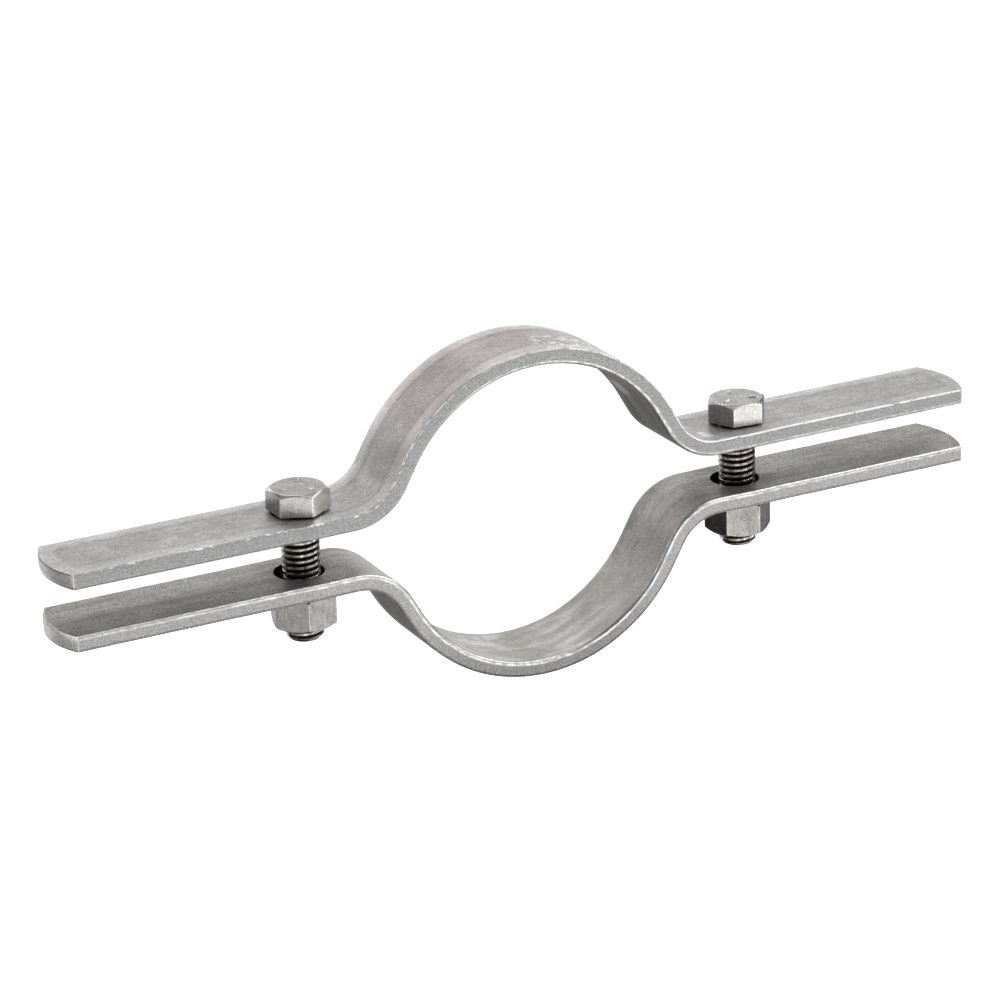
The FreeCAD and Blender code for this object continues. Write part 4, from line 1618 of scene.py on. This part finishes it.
@dataclass
class Studio:
    """The camera at the photograph's angle, the pale floor and the soft light."""

    eye: Triple = (-0.474062, 0.395744, 0.951136)
    looks_along: Triple = (0.41710866, -0.35178348, -0.83801477)
    upwards: Triple = (0.18727078, 0.93553401, -0.29950922)
    target: Triple = (0.0, 0.0, 0.0127)
    lens: float = 140.84
    sensor: float = 36.0
    floor_reach: float = 3.0
    boxes: Sequence[SoftBox] = (
        SoftBox("key_right", (0.87, 0.46, 0.18), 5.8),
        SoftBox("back_left", (-0.85, 0.48, -0.22), 3.5),
        SoftBox("back_left_high", (-0.61, 0.72, -0.33), 0.3, 0.5),
        SoftBox("key_high", (0.49, 0.77, 0.41), 3.0),
        SoftBox("front_low", (-0.28, -0.54, 0.79), 2.9),
        SoftBox("front_right_low", (0.40, -0.32, 0.86), 2.2),
        SoftBox("front_right", (0.42, 0.34, 0.83), 0.9, 0.5),
        SoftBox("right_low", (0.88, -0.40, 0.26), 2.6),
        SoftBox("table_left", (-0.23, 0.29, -0.93), 1.85),
        SoftBox("left_edge", (-0.99, -0.05, -0.07), 1.9),
        SoftBox("table_right", (0.42, -0.07, -0.90), 1.45),
        SoftBox("right_high", (0.67, 0.74, -0.04), 1.35),
        SoftBox("overhead", (0.17, 0.98, 0.10), 1.2),
        SoftBox("back_high", (0.13, 0.77, -0.63), 1.1, 0.28),
        SoftBox("table_left_low", (-0.41, -0.26, -0.88), 0.5),
        SoftBox("over_camera", (-0.48, -0.08, 0.88), 0.95),
        SoftBox("back_right", (0.59, 0.25, -0.76), 0.85),
        SoftBox("table_high", (0.13, 0.51, -0.85), 0.8),
        SoftBox("table_low", (0.27, -0.51, -0.82), 0.6),
        SoftBox("left_low", (-0.78, -0.34, 0.50), 0.95),
        SoftBox("back_right_high", (0.48, 0.62, -0.63), 0.4, 0.28),
        SoftBox("right_edge", (0.91, -0.33, -0.25), 0.15, 0.5),
        SoftBox("below", (0.42, -0.85, 0.00), 2.0),
        SoftBox("left_high", (-0.55, 0.62, 0.52), 0.4, 0.5),
        SoftBox("left_end", (-0.417, -0.352, -0.838), 1.05),
        SoftBox("above_left", (-0.25, 0.93, -0.25), 0.4, 0.5),
    )

    def build_camera(self) -> None:
        """Make the camera and set it as the scene's."""
        data = bpy.data.cameras.new("photo_camera")
        data.lens = self.lens
        data.sensor_width = self.sensor
        data.sensor_fit = "HORIZONTAL"
        data.clip_start = 0.05
        data.clip_end = 20.0
        camera = bpy.data.objects.new("photo_camera", data)
        back = -Vector(self.looks_along).normalized()
        right = Vector(self.upwards).cross(back).normalized()
        turn = Matrix((right, back.cross(right), back)).transposed()
        camera.matrix_world = Matrix.Translation(self.eye) @ turn.to_4x4()
        bpy.context.scene.collection.objects.link(camera)
        bpy.context.scene.camera = camera

    def build_floor(self) -> None:
        """Make the floor, which reflections, bounced light and shadow rays don't see."""
        corners = [(x * self.floor_reach, y * self.floor_reach, 0.0)
                   for x, y in ((-1, -1), (1, -1), (1, 1), (-1, 1))]
        mesh = bpy.data.meshes.new("studio_floor")
        mesh.from_pydata(corners, [], [(0, 1, 2, 3)])
        mesh.materials.append(FloorPaper().build())
        floor = new_piece("studio_floor", mesh)
        floor.visible_glossy = False
        floor.visible_diffuse = False
        floor.visible_shadow = False

    def build_room(self) -> None:
        """Make the room a plain white background that lights nothing: the boxes give the light."""
        world = bpy.data.worlds.new("room")
        bpy.context.scene.world = world
        world.use_nodes = True
        shade = world.node_tree.nodes["Background"]
        shade.inputs["Color"].default_value = (1.0, 1.0, 1.0, 1.0)
        shade.inputs["Strength"].default_value = 1.0
        for ray in ("diffuse", "glossy", "transmission", "scatter"):
            setattr(world.cycles_visibility, ray, False)

    def build(self) -> None:
        """Set up the whole studio."""
        self.build_camera()
        self.build_floor()
        self.build_room()
        for box in self.boxes:
            box.build(Vector(self.target))
        bpy.context.scene.view_settings.view_transform = "Standard"
        LOG.info("studio: %d soft boxes", len(self.boxes))


def main() -> None:
    """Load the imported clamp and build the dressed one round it."""
    logging.basicConfig(level=logging.INFO, format="%(name)s: %(message)s")
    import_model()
    Studio().build()
    fastener_steel = FastenerSteel().build()
    forming = forming_tree()
    thread = ScrewThread(thread_tree())
    for half in (StrapHalf(HalfPlace.HEAD_SIDE, 1.0), StrapHalf(HalfPlace.NUT_SIDE, 2.0)):
        half.build(forming)
    # Each bolt's head and nut get painted light (plus) or painted shade (minus), facet by facet.
    for bolt_set in (
            BoltSet(BoltSide.LEFT, thread, fastener_steel, head_turn=26.9, nut_turn=44.7,
                    start_angle=0.0, seed=11.0, nut_wear=0.05,
                    head_tones=(1.25, 0.12, -0.36, 0.0, 0.0, 0.0),
                    nut_tones=(0.12, 0.0, 0.0, 0.0, 0.0, 0.0)),
            BoltSet(BoltSide.RIGHT, thread, fastener_steel, head_turn=4.5, nut_turn=18.4,
                    start_angle=1.5, seed=12.0, nut_wear=0.55,
                    head_tones=(0.0, 0.16, -0.28, 0.0, 0.0, 0.0),
                    nut_tones=(0.0, 0.0, -0.85, 0.0, 0.0, 0.0))):
        bolt_set.build_bolt()
        bolt_set.build_nut()


if __name__ == "__main__":
    main()
